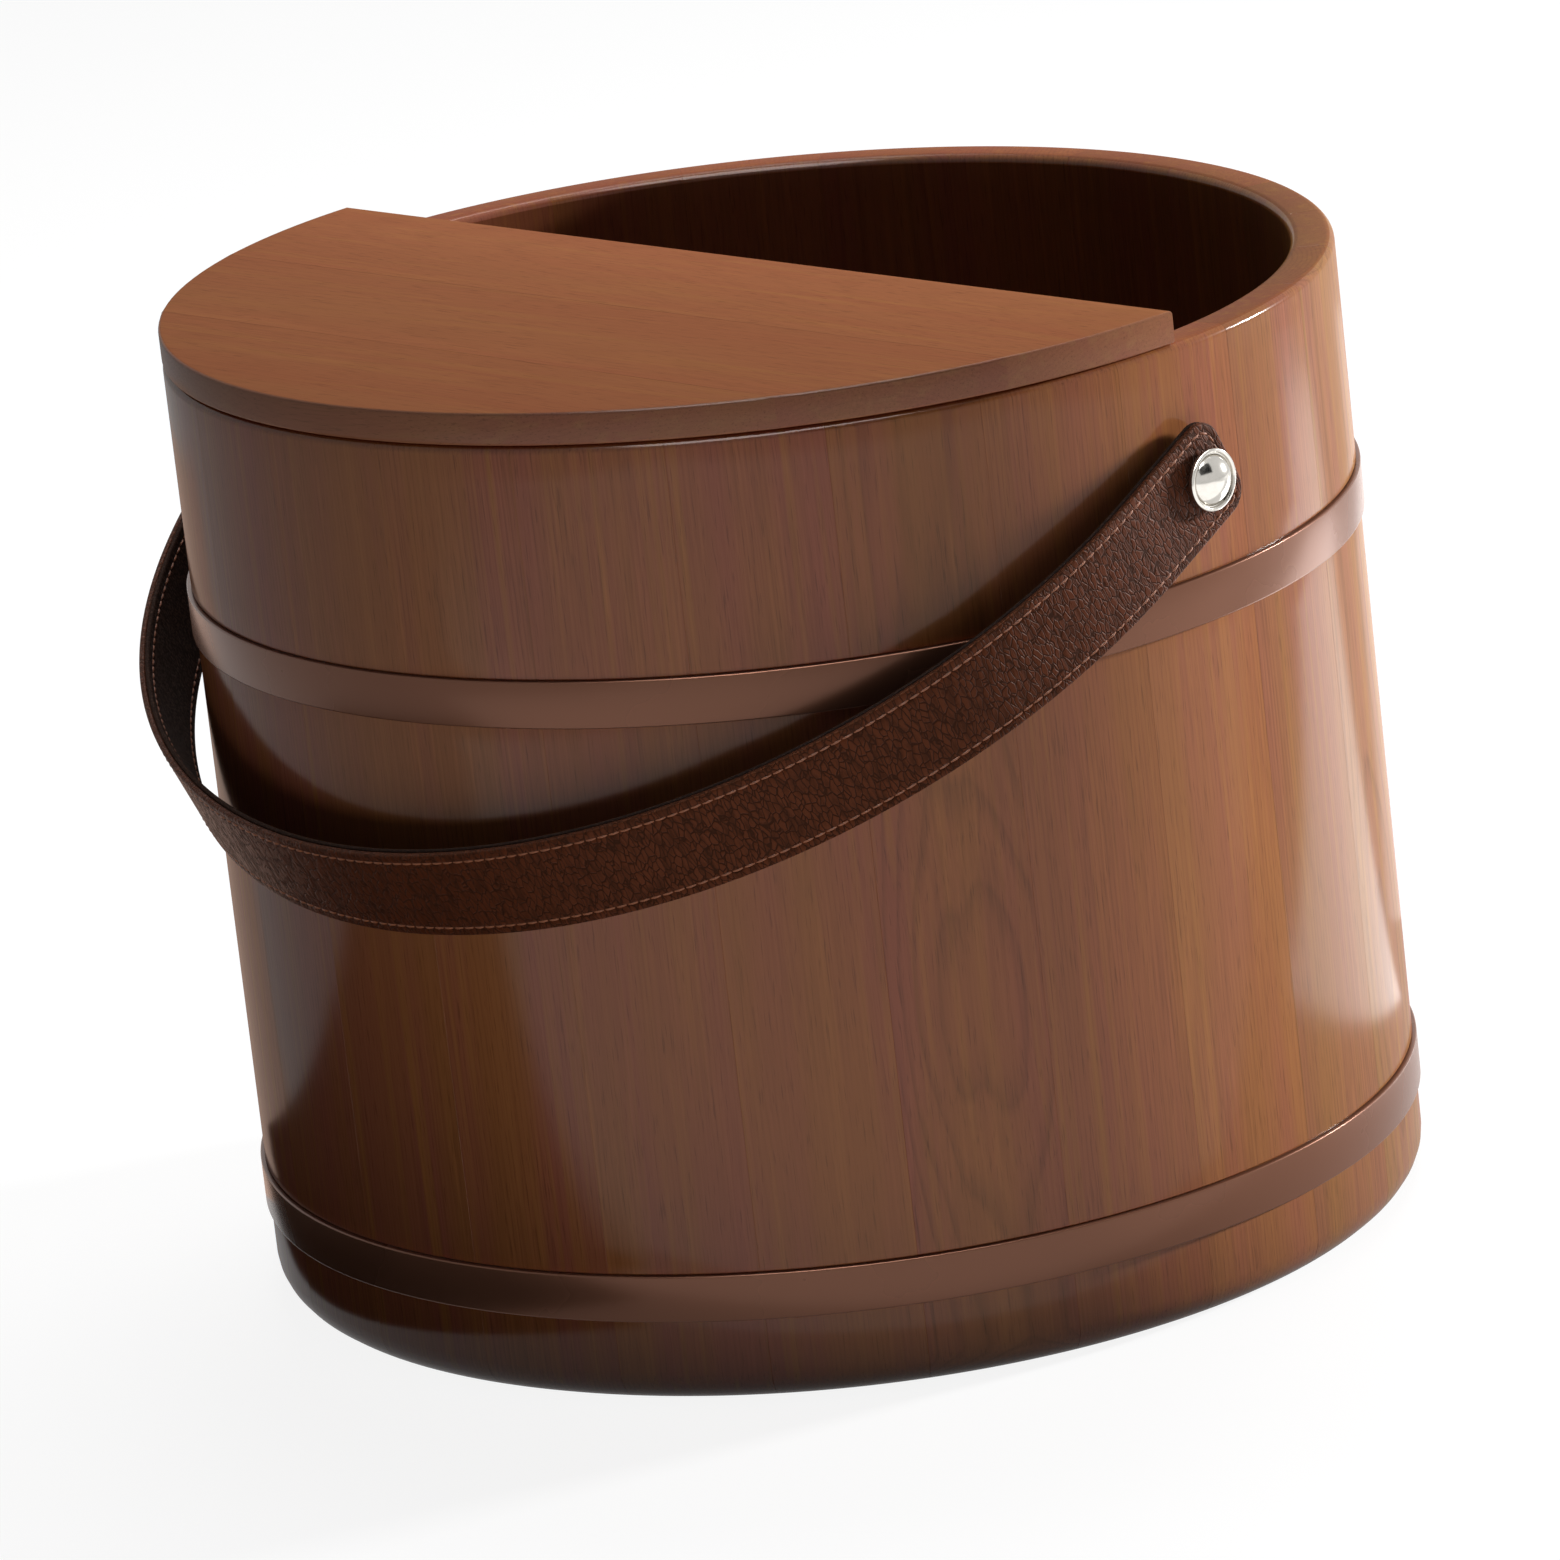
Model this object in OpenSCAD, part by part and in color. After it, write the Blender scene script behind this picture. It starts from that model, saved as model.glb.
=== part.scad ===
// Staved wooden bucket for soaking the feet, with a half lid and a leather carrying strap.
// The origin is on the axis of the bucket, at the floor. The studs lie on X, the lid covers -Y.

/* [Wall] */
// Outside diameter of the staved wall
bucket_d = 400; // [330:1:480]
// Height of the wall from the floor to the rim
wall_h = 330; // [275:1:400]
// Thickness of the staves
wall_t = 15; // [12.5:0.5:18]
// Number of staves round the wall
stave_count = 24; // [16:2:32]
// Radius of the rounded outer edge of the foot
foot_round = 12; // [3:0.5:15]
// Radius of the inner edge of the foot
foot_inner_round = 1; // [0.5:0.5:2]
// Flat width that is left for the foot to stand on
foot_land = 2; // [1:0.5:4]
// Radius of the two edges of the rim
rim_round = 3; // [1:0.5:5]

/* [Base] */
// Thickness of the base planks
base_t = 14; // [10:0.5:18]
// Height of the underside of the base above the floor
base_lift = 26; // [18:1:40]
// Depth of the croze, the groove in the staves that holds the base
croze_depth = 5; // [3:0.5:7]
// Number of planks in the base
plank_count = 4; // [3:1:6]

/* [Pins] */
// Diameter of the wooden pins between staves and between planks
pin_d = 5; // [4:0.5:6]
// Length of a wooden pin
pin_len = 24; // [16:1:28]
// Height of the lower row of stave pins above the floor
lower_pin_lift = 90; // [70:1:110]
// Distance of the upper row of stave pins below the rim
upper_pin_drop = 130; // [110:1:150]
// Distance of the base pins from the middle of the base
base_pin_reach = 90; // [50:1:110]

/* [Hoops] */
// Height of a hoop
hoop_h = 16; // [12:0.5:20]
// Thickness of a hoop
hoop_t = 2.2; // [1.5:0.1:3]
// Depth of the groove that lets a hoop into the wall
hoop_inlet = 0.7; // [0.3:0.1:1.2]
// Distance from the rim to the top of the upper hoop
upper_hoop_drop = 79; // [70:1:105]
// Height of the underside of the lower hoop above the floor
lower_hoop_lift = 30; // [24:1:60]
// Radius of the outer edges of a hoop
hoop_round = 0.6; // [0.2:0.1:0.7]
// Length of the riveted lap of a hoop
hoop_lap = 46; // [40:1:70]
// Length of the ramp that lifts one end of a hoop over the other
lap_ramp = 8; // [4:1:14]
// Distance between the two rivets of a lap
rivet_spacing = 24; // [14:1:28]
// Diameter of a rivet
rivet_d = 4; // [3:0.5:5]
// Diameter of a rivet's head
rivet_head_d = 8; // [6:0.5:10]
// Height of a rivet's domed head
rivet_head_h = 1.6; // [1:0.1:2.2]

/* [Lid] */
// Thickness of the lid boards
lid_t = 11; // [8:0.5:13.5]
// Width of the chamfer along the edges of the lid
lid_ease = 1; // [0.5:0.1:3]
// Number of boards in the lid
board_count = 3; // [2:1:4]
// Width of a batten under the lid
batten_w = 30; // [20:1:40]
// Thickness of a batten
batten_t = 12; // [8:0.5:16]
// Radius of a batten's corners, seen from below
batten_round = 4; // [1:0.5:8]
// Distance between the middles of the two battens
batten_spacing = 180; // [120:1:220]
// Distance of the battens from the straight edge of the lid
batten_setback = 12; // [6:1:24]
// Diameter of a lid screw
screw_d = 4; // [3:0.5:5]
// Diameter of a lid screw's countersunk head
screw_head_d = 8; // [6.5:0.5:10]
// Wood left above the tip of a lid screw
screw_cover = 3; // [2:0.5:5]

/* [Studs] */
// Distance of the studs below the rim
stud_drop = 45; // [38:1:52]
// Diameter of a stud's polished head
head_d = 21; // [16:0.5:28]
// Height of the straight edge of the head
head_edge = 1.2; // [0.6:0.1:2.5]
// Height of the dome of the head
head_dome = 4.2; // [2:0.1:6]
// Width of the rounded ring along the edge of the head
head_ring = 1.5; // [0.8:0.1:2.2]
// Depth of the groove between that ring and the dome
ring_groove = 0.35; // [0.2:0.05:0.5]
// Length of the neck that shows between the strap and the head
head_standoff = 2; // [0.5:0.1:4]
// Diameter of the neck that the strap turns on
neck_d = 9; // [7:0.5:12]
// Diameter of the bolt that goes through the wall
bolt_d = 6; // [4:0.5:6.5]
// Thickness of the spacer between the wall and the strap
spacer_t = 3.5; // [2:0.1:5]
// Diameter of the spacer
spacer_d = 22; // [18:0.5:30]
// Diameter of the washer inside the bucket
washer_d = 18; // [14:0.5:24]
// Thickness of that washer
washer_t = 1.5; // [1:0.1:2.5]
// Width of the cap nut across its flats
nut_flats = 10; // [10:0.5:13]
// Height of the six-sided part of the cap nut
nut_h = 5; // [4:0.5:7]

/* [Strap] */
// Width of the strap
strap_w = 36; // [28:1:44]
// Thickness of the outer leather
leather_t = 2.2; // [1.5:0.1:3]
// Thickness of the lining leather
lining_t = 1.8; // [1:0.1:2.5]
// Distance from a stud to where the strap starts to bend
strap_leg = 30; // [25:1:45]
// Length of strap beyond a stud
strap_tail = 13; // [10:0.5:20]
// Radius of the corners at the ends of the strap
strap_corner = 9; // [3:0.5:13]

/* [Clearances] */
// Radial clearance of pins, rivets and screws in their holes
pin_fit = 0.05; // [0.02:0.01:0.2]
// Clearance of the base in the croze
base_fit = 0.2; // [0.05:0.05:0.4]
// Clearance between a hoop and the bottom of its groove
hoop_fit = 0.05; // [0.02:0.01:0.2]
// Open line above a hoop in its groove
hoop_line = 0.5; // [0.1:0.1:1]
// Clearance of a bolt in the wall
bolt_fit = 0.2; // [0.1:0.05:0.5]
// Radial clearance of the strap on a neck
neck_fit = 0.05; // [0.02:0.01:0.1]
// Clearance between a flat piece and the curved wall that it is drawn up to
seat_fit = 0.05; // [0.02:0.01:0.2]
// Clearance between the strap and a spacer
strap_fit = 0.2; // [0.1:0.05:0.5]
// Glue line between the two leathers of the strap
glue_line = 0.05; // [0.02:0.01:0.1]
// Gap between the hanging strap and the wall
rest_gap = 0.4; // [0.3:0.1:2]
// Clearance between the rim and the lid that lies on it
lid_fit = 0.2; // [0.1:0.05:0.5]
// Gap between the end of a batten and the wall
batten_gap = 2; // [1:0.5:6]

/* [Hidden] */
$fn = 96;
bucket_r = bucket_d / 2;
inner_r = bucket_r - wall_t;
pitch = 360 / stave_count;
foot_r = min(foot_round, wall_t - foot_inner_round - foot_land);
pin_r = inner_r + wall_t / 2;

base_r = inner_r + croze_depth - base_fit;
plank_w = 2 * base_r / plank_count;

hoop_in_r = bucket_r - hoop_inlet + hoop_fit;
hoop_out_r = hoop_in_r + hoop_t;
upper_hoop_z = wall_h - upper_hoop_drop - hoop_h;
lower_hoop_z = lower_hoop_lift;
lap_angle = hoop_lap / hoop_out_r * 180 / PI;
rivet_angle = rivet_spacing / hoop_out_r * 180 / PI;
lap_middle = 90;

lid_r = bucket_r;
board_w = lid_r / board_count;
batten_x = batten_spacing / 2;
batten_far = sqrt(pow(inner_r - batten_gap, 2) - pow(batten_x + batten_w / 2, 2));
lid_z = wall_h + lid_fit;
lid_top = lid_z + lid_t;

stud_z = wall_h - stud_drop;
strap_t = lining_t + glue_line + leather_t;
strap_in = spacer_t + strap_fit;
head_under = strap_in + strap_t + head_standoff;
head_r = head_d / 2;
dome_base_r = head_r - head_ring - ring_groove;
dome_rise = head_dome + ring_groove;
dome_r = (dome_base_r * dome_base_r + dome_rise * dome_rise) / (2 * dome_rise);
washer_seat = inner_r - sqrt(inner_r * inner_r - washer_d * washer_d / 4) + seat_fit;
nut_seat = wall_t + washer_seat + washer_t;
nut_r = nut_flats / sqrt(3);
nut_dome_r = nut_flats / 2 - 0.3;
bolt_reach = nut_seat + nut_h;

// The strap hangs until its lower inner edge comes to rest_gap from the wall.
strap_reach = bucket_r + strap_in + strap_leg;
strap_swing_r = norm([strap_reach, strap_w / 2]);
strap_droop = acos((bucket_r + rest_gap) / strap_swing_r) - atan(strap_w / 2 / strap_reach);

stained = "#7d4f3a";
stained_dark = "#5a3527";
stained_warm = "#8f5a38";
bare_wood = "#b88a5c";
painted = "#6d4a3c";
chrome = "#cfd0d2";
steel = "#9a9da1";
hide = "#2e1b15";
hide_lining = "#3a241b";

function two_digits(i) = str(i < 10 ? "0" : "", i);
function stave_name(i) = str("stave_", two_digits(i));
function plank_name(i) = str("base_plank_", i);
function board_name(i) = str("lid_board_", i);
function side_name(side, piece) = str(side > 0 ? "right_" : "left_", piece);

// Cuts a rounded corner of radius r from the square corner at the origin, whose flat shape lies at
// -X and -Y; ways turns it to the other three corners.
module corner_cut(r, ways = [1, 1]) {
    over = 1;
    scale_x = ways[0] < 0 ? 1 : 0;
    scale_y = ways[1] < 0 ? 1 : 0;
    mirror([scale_x, 0])
        mirror([0, scale_y])
            difference() {
                translate([-r, -r])
                    square(r + over);
                translate([-r, -r])
                    circle(r);
            }
}

// Puts its children at a stud: +Z points outwards, and 0 is the outside of the wall.
module at_stud(side) {
    translate([0, 0, stud_z])
        rotate([0, 0, side > 0 ? 0 : 180])
            translate([bucket_r, 0, 0])
                rotate([0, 90, 0])
                    children();
}

// Puts its children at the joint after stave i, along the tangent of the wall.
module at_stave_joint(i) {
    rotate([0, 0, pitch * (i - 0.5)])
        translate([pin_r, 0, 0])
            for (z = [lower_pin_lift, wall_h - upper_pin_drop])
                translate([0, 0, z])
                    rotate([90, 0, 0])
                        children();
}

// Puts its children at the pins between base planks i and i + 1.
module at_plank_joint(i) {
    for (x = [-base_pin_reach, base_pin_reach])
        translate([x, -base_r + plank_w * i, base_lift + base_t / 2])
            rotate([90, 0, 0])
                children();
}

module pin() {
    cylinder(d = pin_d, h = pin_len, center = true);
}

module pin_hole() {
    cylinder(d = pin_d + 2 * pin_fit, h = pin_len + 2 * pin_fit, center = true);
}

// Section of a stave: rounded foot and rim, the croze inside and the hoop grooves outside.
module stave_section() {
    difference() {
        translate([inner_r, 0])
            square([wall_t, wall_h]);
        translate([bucket_r, 0])
            corner_cut(foot_r, [1, -1]);
        translate([inner_r, 0])
            corner_cut(foot_inner_round, [-1, -1]);
        translate([bucket_r, wall_h])
            corner_cut(rim_round, [1, 1]);
        translate([inner_r, wall_h])
            corner_cut(rim_round, [-1, 1]);
        translate([inner_r - croze_depth, base_lift])
            square([2 * croze_depth, base_t + base_fit]);
        for (z = [lower_hoop_z, upper_hoop_z])
            translate([bucket_r - hoop_inlet, z])
                square([2 * hoop_inlet, hoop_h + hoop_line]);
    }
}

// One stave. Stave 1 lies at +X, and the rest follow to the left, seen from above.
module stave(i) {
    color(stained)
        difference() {
            rotate([0, 0, pitch * (i - 1.5)])
                rotate_extrude(angle = pitch)
                    stave_section();
            at_stave_joint(i)
                pin_hole();
            at_stave_joint(i - 1)
                pin_hole();
            if (i == 1 || i == stave_count / 2 + 1)
                at_stud(i == 1 ? 1 : -1)
                    translate([0, 0, -wall_t - 1])
                        cylinder(d = bolt_d + 2 * bolt_fit, h = wall_t + 2);
        }
}

module stave_pins() {
    color(bare_wood)
        for (i = [1 : stave_count])
            at_stave_joint(i)
                pin();
}

// One plank of the round base, numbered from the front.
module base_plank(i) {
    color(stained_dark)
        difference() {
            intersection() {
                translate([0, 0, base_lift])
                    cylinder(r = base_r, h = base_t);
                translate([-base_r, -base_r + plank_w * (i - 1), base_lift])
                    cube([2 * base_r, plank_w, base_t]);
            }
            if (i < plank_count)
                at_plank_joint(i)
                    pin_hole();
            if (i > 1)
                at_plank_joint(i - 1)
                    pin_hole();
        }
}

module base_pins() {
    color(bare_wood)
        for (i = [1 : plank_count - 1])
            at_plank_joint(i)
                pin();
}

// Section of a hoop, one or two bands thick.
module hoop_section(thick) {
    difference() {
        translate([hoop_in_r, 0])
            square([thick, hoop_h]);
        translate([hoop_in_r + thick, 0])
            corner_cut(hoop_round, [1, -1]);
        translate([hoop_in_r + thick, hoop_h])
            corner_cut(hoop_round, [1, 1]);
    }
}

// Puts its children at the two rivets of a lap: +Z points outwards, and 0 is the inside of the hoop.
module at_lap_rivets() {
    for (way = [-1, 1])
        rotate([0, 0, lap_middle + way * rivet_angle / 2])
            translate([hoop_in_r, 0, hoop_h / 2])
                rotate([0, 90, 0])
                    children();
}

// A flat band closed at the back by a lap with two rivets.
module hoop() {
    sunk = 0.4;
    difference() {
        union() {
            rotate([0, 0, lap_middle + lap_angle / 2])
                rotate_extrude(angle = 360 - lap_angle)
                    hoop_section(hoop_t);
            rotate([0, 0, lap_middle - lap_angle / 2])
                rotate_extrude(angle = lap_angle)
                    hoop_section(2 * hoop_t);
            rotate([0, 0, lap_middle + lap_angle / 2])
                translate([hoop_out_r, 0, hoop_round])
                    linear_extrude(hoop_h - 2 * hoop_round)
                        polygon([[-sunk, 0], [hoop_t - hoop_round, 0], [-sunk, lap_ramp]]);
        }
        at_lap_rivets()
            translate([0, 0, -1])
                cylinder(d = rivet_d + 2 * pin_fit, h = 2 * hoop_t + 2);
    }
}

module upper_hoop() {
    color(painted)
        translate([0, 0, upper_hoop_z])
            hoop();
}

module lower_hoop() {
    color(painted)
        translate([0, 0, lower_hoop_z])
            hoop();
}

// A rivet with a domed head outside, seated on the lap.
module rivet() {
    head_r = rivet_head_d / 2;
    cap_r = (head_r * head_r + rivet_head_h * rivet_head_h) / (2 * rivet_head_h);
    seat = 2 * hoop_t + seat_fit;
    translate([0, 0, seat_fit])
        cylinder(d = rivet_d, h = seat);
    intersection() {
        translate([0, 0, seat + rivet_head_h - cap_r])
            sphere(cap_r);
        translate([0, 0, seat])
            cylinder(r = head_r + 1, h = rivet_head_h + 1);
    }
}

module hoop_rivets() {
    color(painted)
        for (z = [lower_hoop_z, upper_hoop_z])
            translate([0, 0, z])
                at_lap_rivets()
                    rivet();
}

// The head of a stud: a disc with a rounded ring along its edge, and a dome that rises inside the ring.
module stud_head() {
    dome_z = head_edge - ring_groove;
    cylinder(r = head_r - head_ring / 2, h = dome_z);
    rotate_extrude()
        translate([head_r - head_ring, 0]) {
            square([head_ring, head_edge]);
            intersection() {
                translate([head_ring / 2, head_edge])
                    circle(d = head_ring);
                square([head_ring, head_edge + head_ring]);
            }
        }
    intersection() {
        translate([0, 0, dome_z + dome_rise - dome_r])
            sphere(dome_r);
        translate([0, 0, dome_z])
            cylinder(r = head_r, h = dome_rise + 1);
    }
}

// The stud: a domed head, the neck that the strap turns on, and a bolt through the wall.
module stud(side) {
    color(chrome)
        at_stud(side) {
            translate([0, 0, seat_fit])
                cylinder(d = neck_d, h = head_under - seat_fit);
            translate([0, 0, -bolt_reach])
                cylinder(d = bolt_d, h = bolt_reach + seat_fit);
            translate([0, 0, head_under])
                stud_head();
        }
}

// The ring that holds the strap off the wall.
module spacer(side) {
    color(steel)
        at_stud(side)
            translate([0, 0, seat_fit])
                difference() {
                    cylinder(d = spacer_d, h = spacer_t - seat_fit);
                    translate([0, 0, -1])
                        cylinder(d = neck_d + 2 * pin_fit, h = spacer_t + 2);
                }
}

// The washer under the nut inside the bucket. Its rim meets the hollow wall.
module washer(side) {
    color(steel)
        at_stud(side)
            translate([0, 0, -nut_seat])
                difference() {
                    cylinder(d = washer_d, h = washer_t);
                    translate([0, 0, -1])
                        cylinder(d = bolt_d + 2 * bolt_fit, h = washer_t + 2);
                }
}

// A domed cap nut with a blind bore.
module cap_nut(side) {
    color(chrome)
        at_stud(side)
            translate([0, 0, -nut_seat])
                mirror([0, 0, 1])
                    difference() {
                        union() {
                            cylinder(r = nut_r, h = nut_h, $fn = 6);
                            translate([0, 0, nut_h])
                                intersection() {
                                    sphere(nut_dome_r);
                                    cylinder(r = nut_dome_r + 1, h = nut_dome_r + 1);
                                }
                        }
                        translate([0, 0, -1])
                            cylinder(d = bolt_d + 2 * pin_fit, h = nut_h + 1 + seat_fit);
                    }
}

// The disc that the boards of the lid are cut from, with its edges eased.
module lid_blank() {
    flat_r = lid_r - lid_ease;
    side_top = lid_t - lid_ease;
    translate([0, 0, lid_z])
        rotate([0, 0, 90])
            rotate_extrude()
                polygon([[0, 0], [flat_r, 0], [lid_r, lid_ease], [lid_r, side_top], [flat_r, lid_t], [0, lid_t]]);
}

// Eases the straight edge of the lid, which lies on X.
module lid_edge_cut() {
    over = 1;
    for (z = [lid_z, lid_top])
        translate([0, 0, z])
            rotate([45, 0, 0])
                cube([2 * lid_r + over, lid_ease * sqrt(2), lid_ease * sqrt(2)], center = true);
}

// Puts its children at the screws of the batten on one side: +Z points up, and 0 is under the batten.
module at_lid_screws(side, boards) {
    for (i = boards) {
        far = max(-batten_far + screw_head_d, -lid_r + board_w * (i - 1));
        near = min(-batten_setback - screw_head_d, -lid_r + board_w * i);
        translate([side * batten_x, (far + near) / 2, lid_z - batten_t])
            children();
    }
}

// A countersunk wood screw; spare makes it larger all round, for its hole.
module lid_screw(spare = 0) {
    head_h = (screw_head_d - screw_d) / 2;
    reach = batten_t + lid_t - screw_cover;
    cylinder(d1 = screw_head_d + 2 * spare, d2 = screw_d + 2 * spare, h = head_h);
    cylinder(d = screw_d + 2 * spare, h = reach + spare);
}

// One board of the lid, numbered from the front.
module lid_board(i) {
    color(stained_warm)
        difference() {
            intersection() {
                lid_blank();
                translate([-lid_r - 1, -lid_r + board_w * (i - 1), lid_z])
                    cube([2 * lid_r + 2, board_w, lid_t]);
            }
            if (i == board_count)
                lid_edge_cut();
            for (side = [-1, 1])
                at_lid_screws(side, [i])
                    lid_screw(pin_fit);
        }
}

// A batten under the lid, which drops inside the rim and keeps the lid in its place.
module batten(side) {
    half = batten_w / 2;
    color(stained_dark)
        difference() {
            translate([side * batten_x, 0, lid_z - batten_t])
                linear_extrude(batten_t)
                    difference() {
                        translate([-half, -batten_far])
                            square([batten_w, batten_far - batten_setback]);
                        for (way = [-1, 1]) {
                            translate([way * half, -batten_far])
                                corner_cut(batten_round, [way, -1]);
                            translate([way * half, -batten_setback])
                                corner_cut(batten_round, [way, 1]);
                        }
                    }
            at_lid_screws(side, [1 : board_count])
                lid_screw(pin_fit);
        }
}

module lid_screws() {
    color(steel)
        for (side = [-1, 1])
            at_lid_screws(side, [1 : board_count])
                lid_screw();
}

// Flat outline of one end of the strap: the stud is at the origin, and the bend starts at +Y.
module strap_end_outline() {
    difference() {
        translate([-strap_w / 2, -strap_tail])
            square([strap_w, strap_tail + strap_leg]);
        for (way = [-1, 1])
            translate([way * strap_w / 2, -strap_tail])
                corner_cut(strap_corner, [way, -1]);
        circle(d = neck_d + 2 * neck_fit);
    }
}

// One leather of the strap: two straight ends and a half turn, whose inner face starts at from.
module strap_layer(from, thick) {
    translate([0, 0, stud_z])
        rotate([180 + strap_droop, 0, 0]) {
            for (side = [0, 1])
                mirror([side, 0, 0])
                    translate([from, 0, 0])
                        rotate([0, 90, 0])
                            linear_extrude(thick)
                                strap_end_outline();
            translate([0, strap_leg, 0])
                rotate_extrude(angle = 180)
                    translate([from, -strap_w / 2])
                        square([thick, strap_w]);
        }
}

module strap_lining() {
    color(hide_lining)
        strap_layer(bucket_r + strap_in, lining_t);
}

module strap_leather() {
    color(hide)
        strap_layer(bucket_r + strap_in + lining_t + glue_line, leather_t);
}

for (i = [1 : stave_count])
    stave(i);
for (i = [1 : plank_count])
    base_plank(i);
stave_pins();
base_pins();
upper_hoop();
lower_hoop();
hoop_rivets();
for (side = [1, -1]) {
    stud(side);
    spacer(side);
    washer(side);
    cap_nut(side);
}
for (i = [1 : board_count])
    lid_board(i);
batten(-1);  // left_batten
batten(1);  // right_batten
lid_screws();
strap_leather();
strap_lining();
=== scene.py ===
import bpy
import bmesh
import math
import random
from mathutils import Matrix, Vector


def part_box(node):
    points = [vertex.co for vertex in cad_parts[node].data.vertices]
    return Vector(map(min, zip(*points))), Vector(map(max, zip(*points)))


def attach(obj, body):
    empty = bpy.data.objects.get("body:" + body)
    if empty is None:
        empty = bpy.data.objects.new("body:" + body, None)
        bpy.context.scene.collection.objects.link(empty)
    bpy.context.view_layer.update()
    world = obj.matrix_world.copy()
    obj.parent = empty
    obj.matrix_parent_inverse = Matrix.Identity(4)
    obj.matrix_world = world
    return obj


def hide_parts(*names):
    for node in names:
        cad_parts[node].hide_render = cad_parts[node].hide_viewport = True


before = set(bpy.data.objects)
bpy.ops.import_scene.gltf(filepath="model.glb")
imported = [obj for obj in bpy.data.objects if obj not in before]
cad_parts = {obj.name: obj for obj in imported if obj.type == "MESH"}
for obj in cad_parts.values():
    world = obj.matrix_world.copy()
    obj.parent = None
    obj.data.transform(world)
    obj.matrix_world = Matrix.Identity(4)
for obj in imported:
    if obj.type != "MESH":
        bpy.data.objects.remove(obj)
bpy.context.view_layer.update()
scene = bpy.context.scene
mm = 0.001

# sizes that the frame gives
staveNames = sorted(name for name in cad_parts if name.startswith("stave_") and name[-1].isdigit())
plankNames = sorted(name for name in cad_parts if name.startswith("base_plank_"))
boardNames = sorted(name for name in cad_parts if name.startswith("lid_board_"))
pitch = 2 * math.pi / len(staveNames)
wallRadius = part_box("stave_01")[1].x
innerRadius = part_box("stave_01")[0].x / math.cos(pitch / 2)
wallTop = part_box("stave_01")[1].z
studZ = (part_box("right_stud")[0].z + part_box("right_stud")[1].z) / 2


def linear(hexColour):  # sRGB hex to linear RGBA
    parts = [int(hexColour[i:i + 2], 16) / 255 for i in (1, 3, 5)]
    return [c / 12.92 if c <= 0.04045 else ((c + 0.055) / 1.055) ** 2.4 for c in parts] + [1.0]


def addNode(tree, kind, inputs=None, stops=None, **settings):  # sockets take values, sockets or nodes
    node = tree.nodes.new(kind)
    for name, value in settings.items():
        setattr(node, name, value)
    for socket, value in (inputs or {}).items():
        if isinstance(value, bpy.types.Node):
            value = next(out for out in value.outputs if out.enabled)
        if isinstance(value, bpy.types.NodeSocket):
            tree.links.new(value, node.inputs[socket])
        else:
            node.inputs[socket].default_value = value
    for i, (place, colour) in enumerate(stops or []):
        ramp = node.color_ramp.elements
        step = ramp[i] if i < 2 else ramp.new(place)
        step.position = place
        step.color = colour
    return node


def newMaterial(name):
    material = bpy.data.materials.new(name)
    material.use_nodes = True
    material.node_tree.nodes.clear()
    return material, material.node_tree


def grey(value):
    return (value, value, value, 1)


squareCorners = ((-1, -1), (1, -1), (1, 1), (-1, 1))


# Camera at the photograph's angle, with the picture's own tilt
view = {
    "azimuth": 46.94,
    "elevation": 16.04,
    "roll": -6.545,
    "distance": 3.634,
    "lens": 243.8,
    "sensor": 36,
    "clipEnd": 40,
    "target": Vector((0, 0, 164 * mm)),
    "slideRight": -6.94 * mm,
    "slideUp": -8.44 * mm,
}


def fromAngles(azimuth, elevation):  # direction out from the object; azimuth 0 is the front, -Y
    a, e = math.radians(azimuth), math.radians(elevation)
    return Vector((math.sin(a) * math.cos(e), -math.cos(a) * math.cos(e), math.sin(e)))


def makeCamera():
    a, roll = math.radians(view["azimuth"]), math.radians(view["roll"])
    back = fromAngles(view["azimuth"], view["elevation"])
    right = Vector((math.cos(a), math.sin(a), 0))
    up = back.cross(right)
    tiltedRight = right * math.cos(roll) + up * math.sin(roll)
    tiltedUp = up * math.cos(roll) - right * math.sin(roll)
    aim = view["target"] + tiltedRight * view["slideRight"] + tiltedUp * view["slideUp"]
    data = bpy.data.cameras.new("camera")
    data.sensor_width = view["sensor"]
    data.lens = view["lens"]
    data.clip_end = view["clipEnd"]
    camera = bpy.data.objects.new("camera", data)
    scene.collection.objects.link(camera)
    turn = Matrix((tiltedRight, tiltedUp, back)).transposed().to_4x4()
    camera.matrix_world = Matrix.Translation(aim + back * view["distance"]) @ turn
    scene.camera = camera


makeCamera()
print("camera placed")

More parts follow.
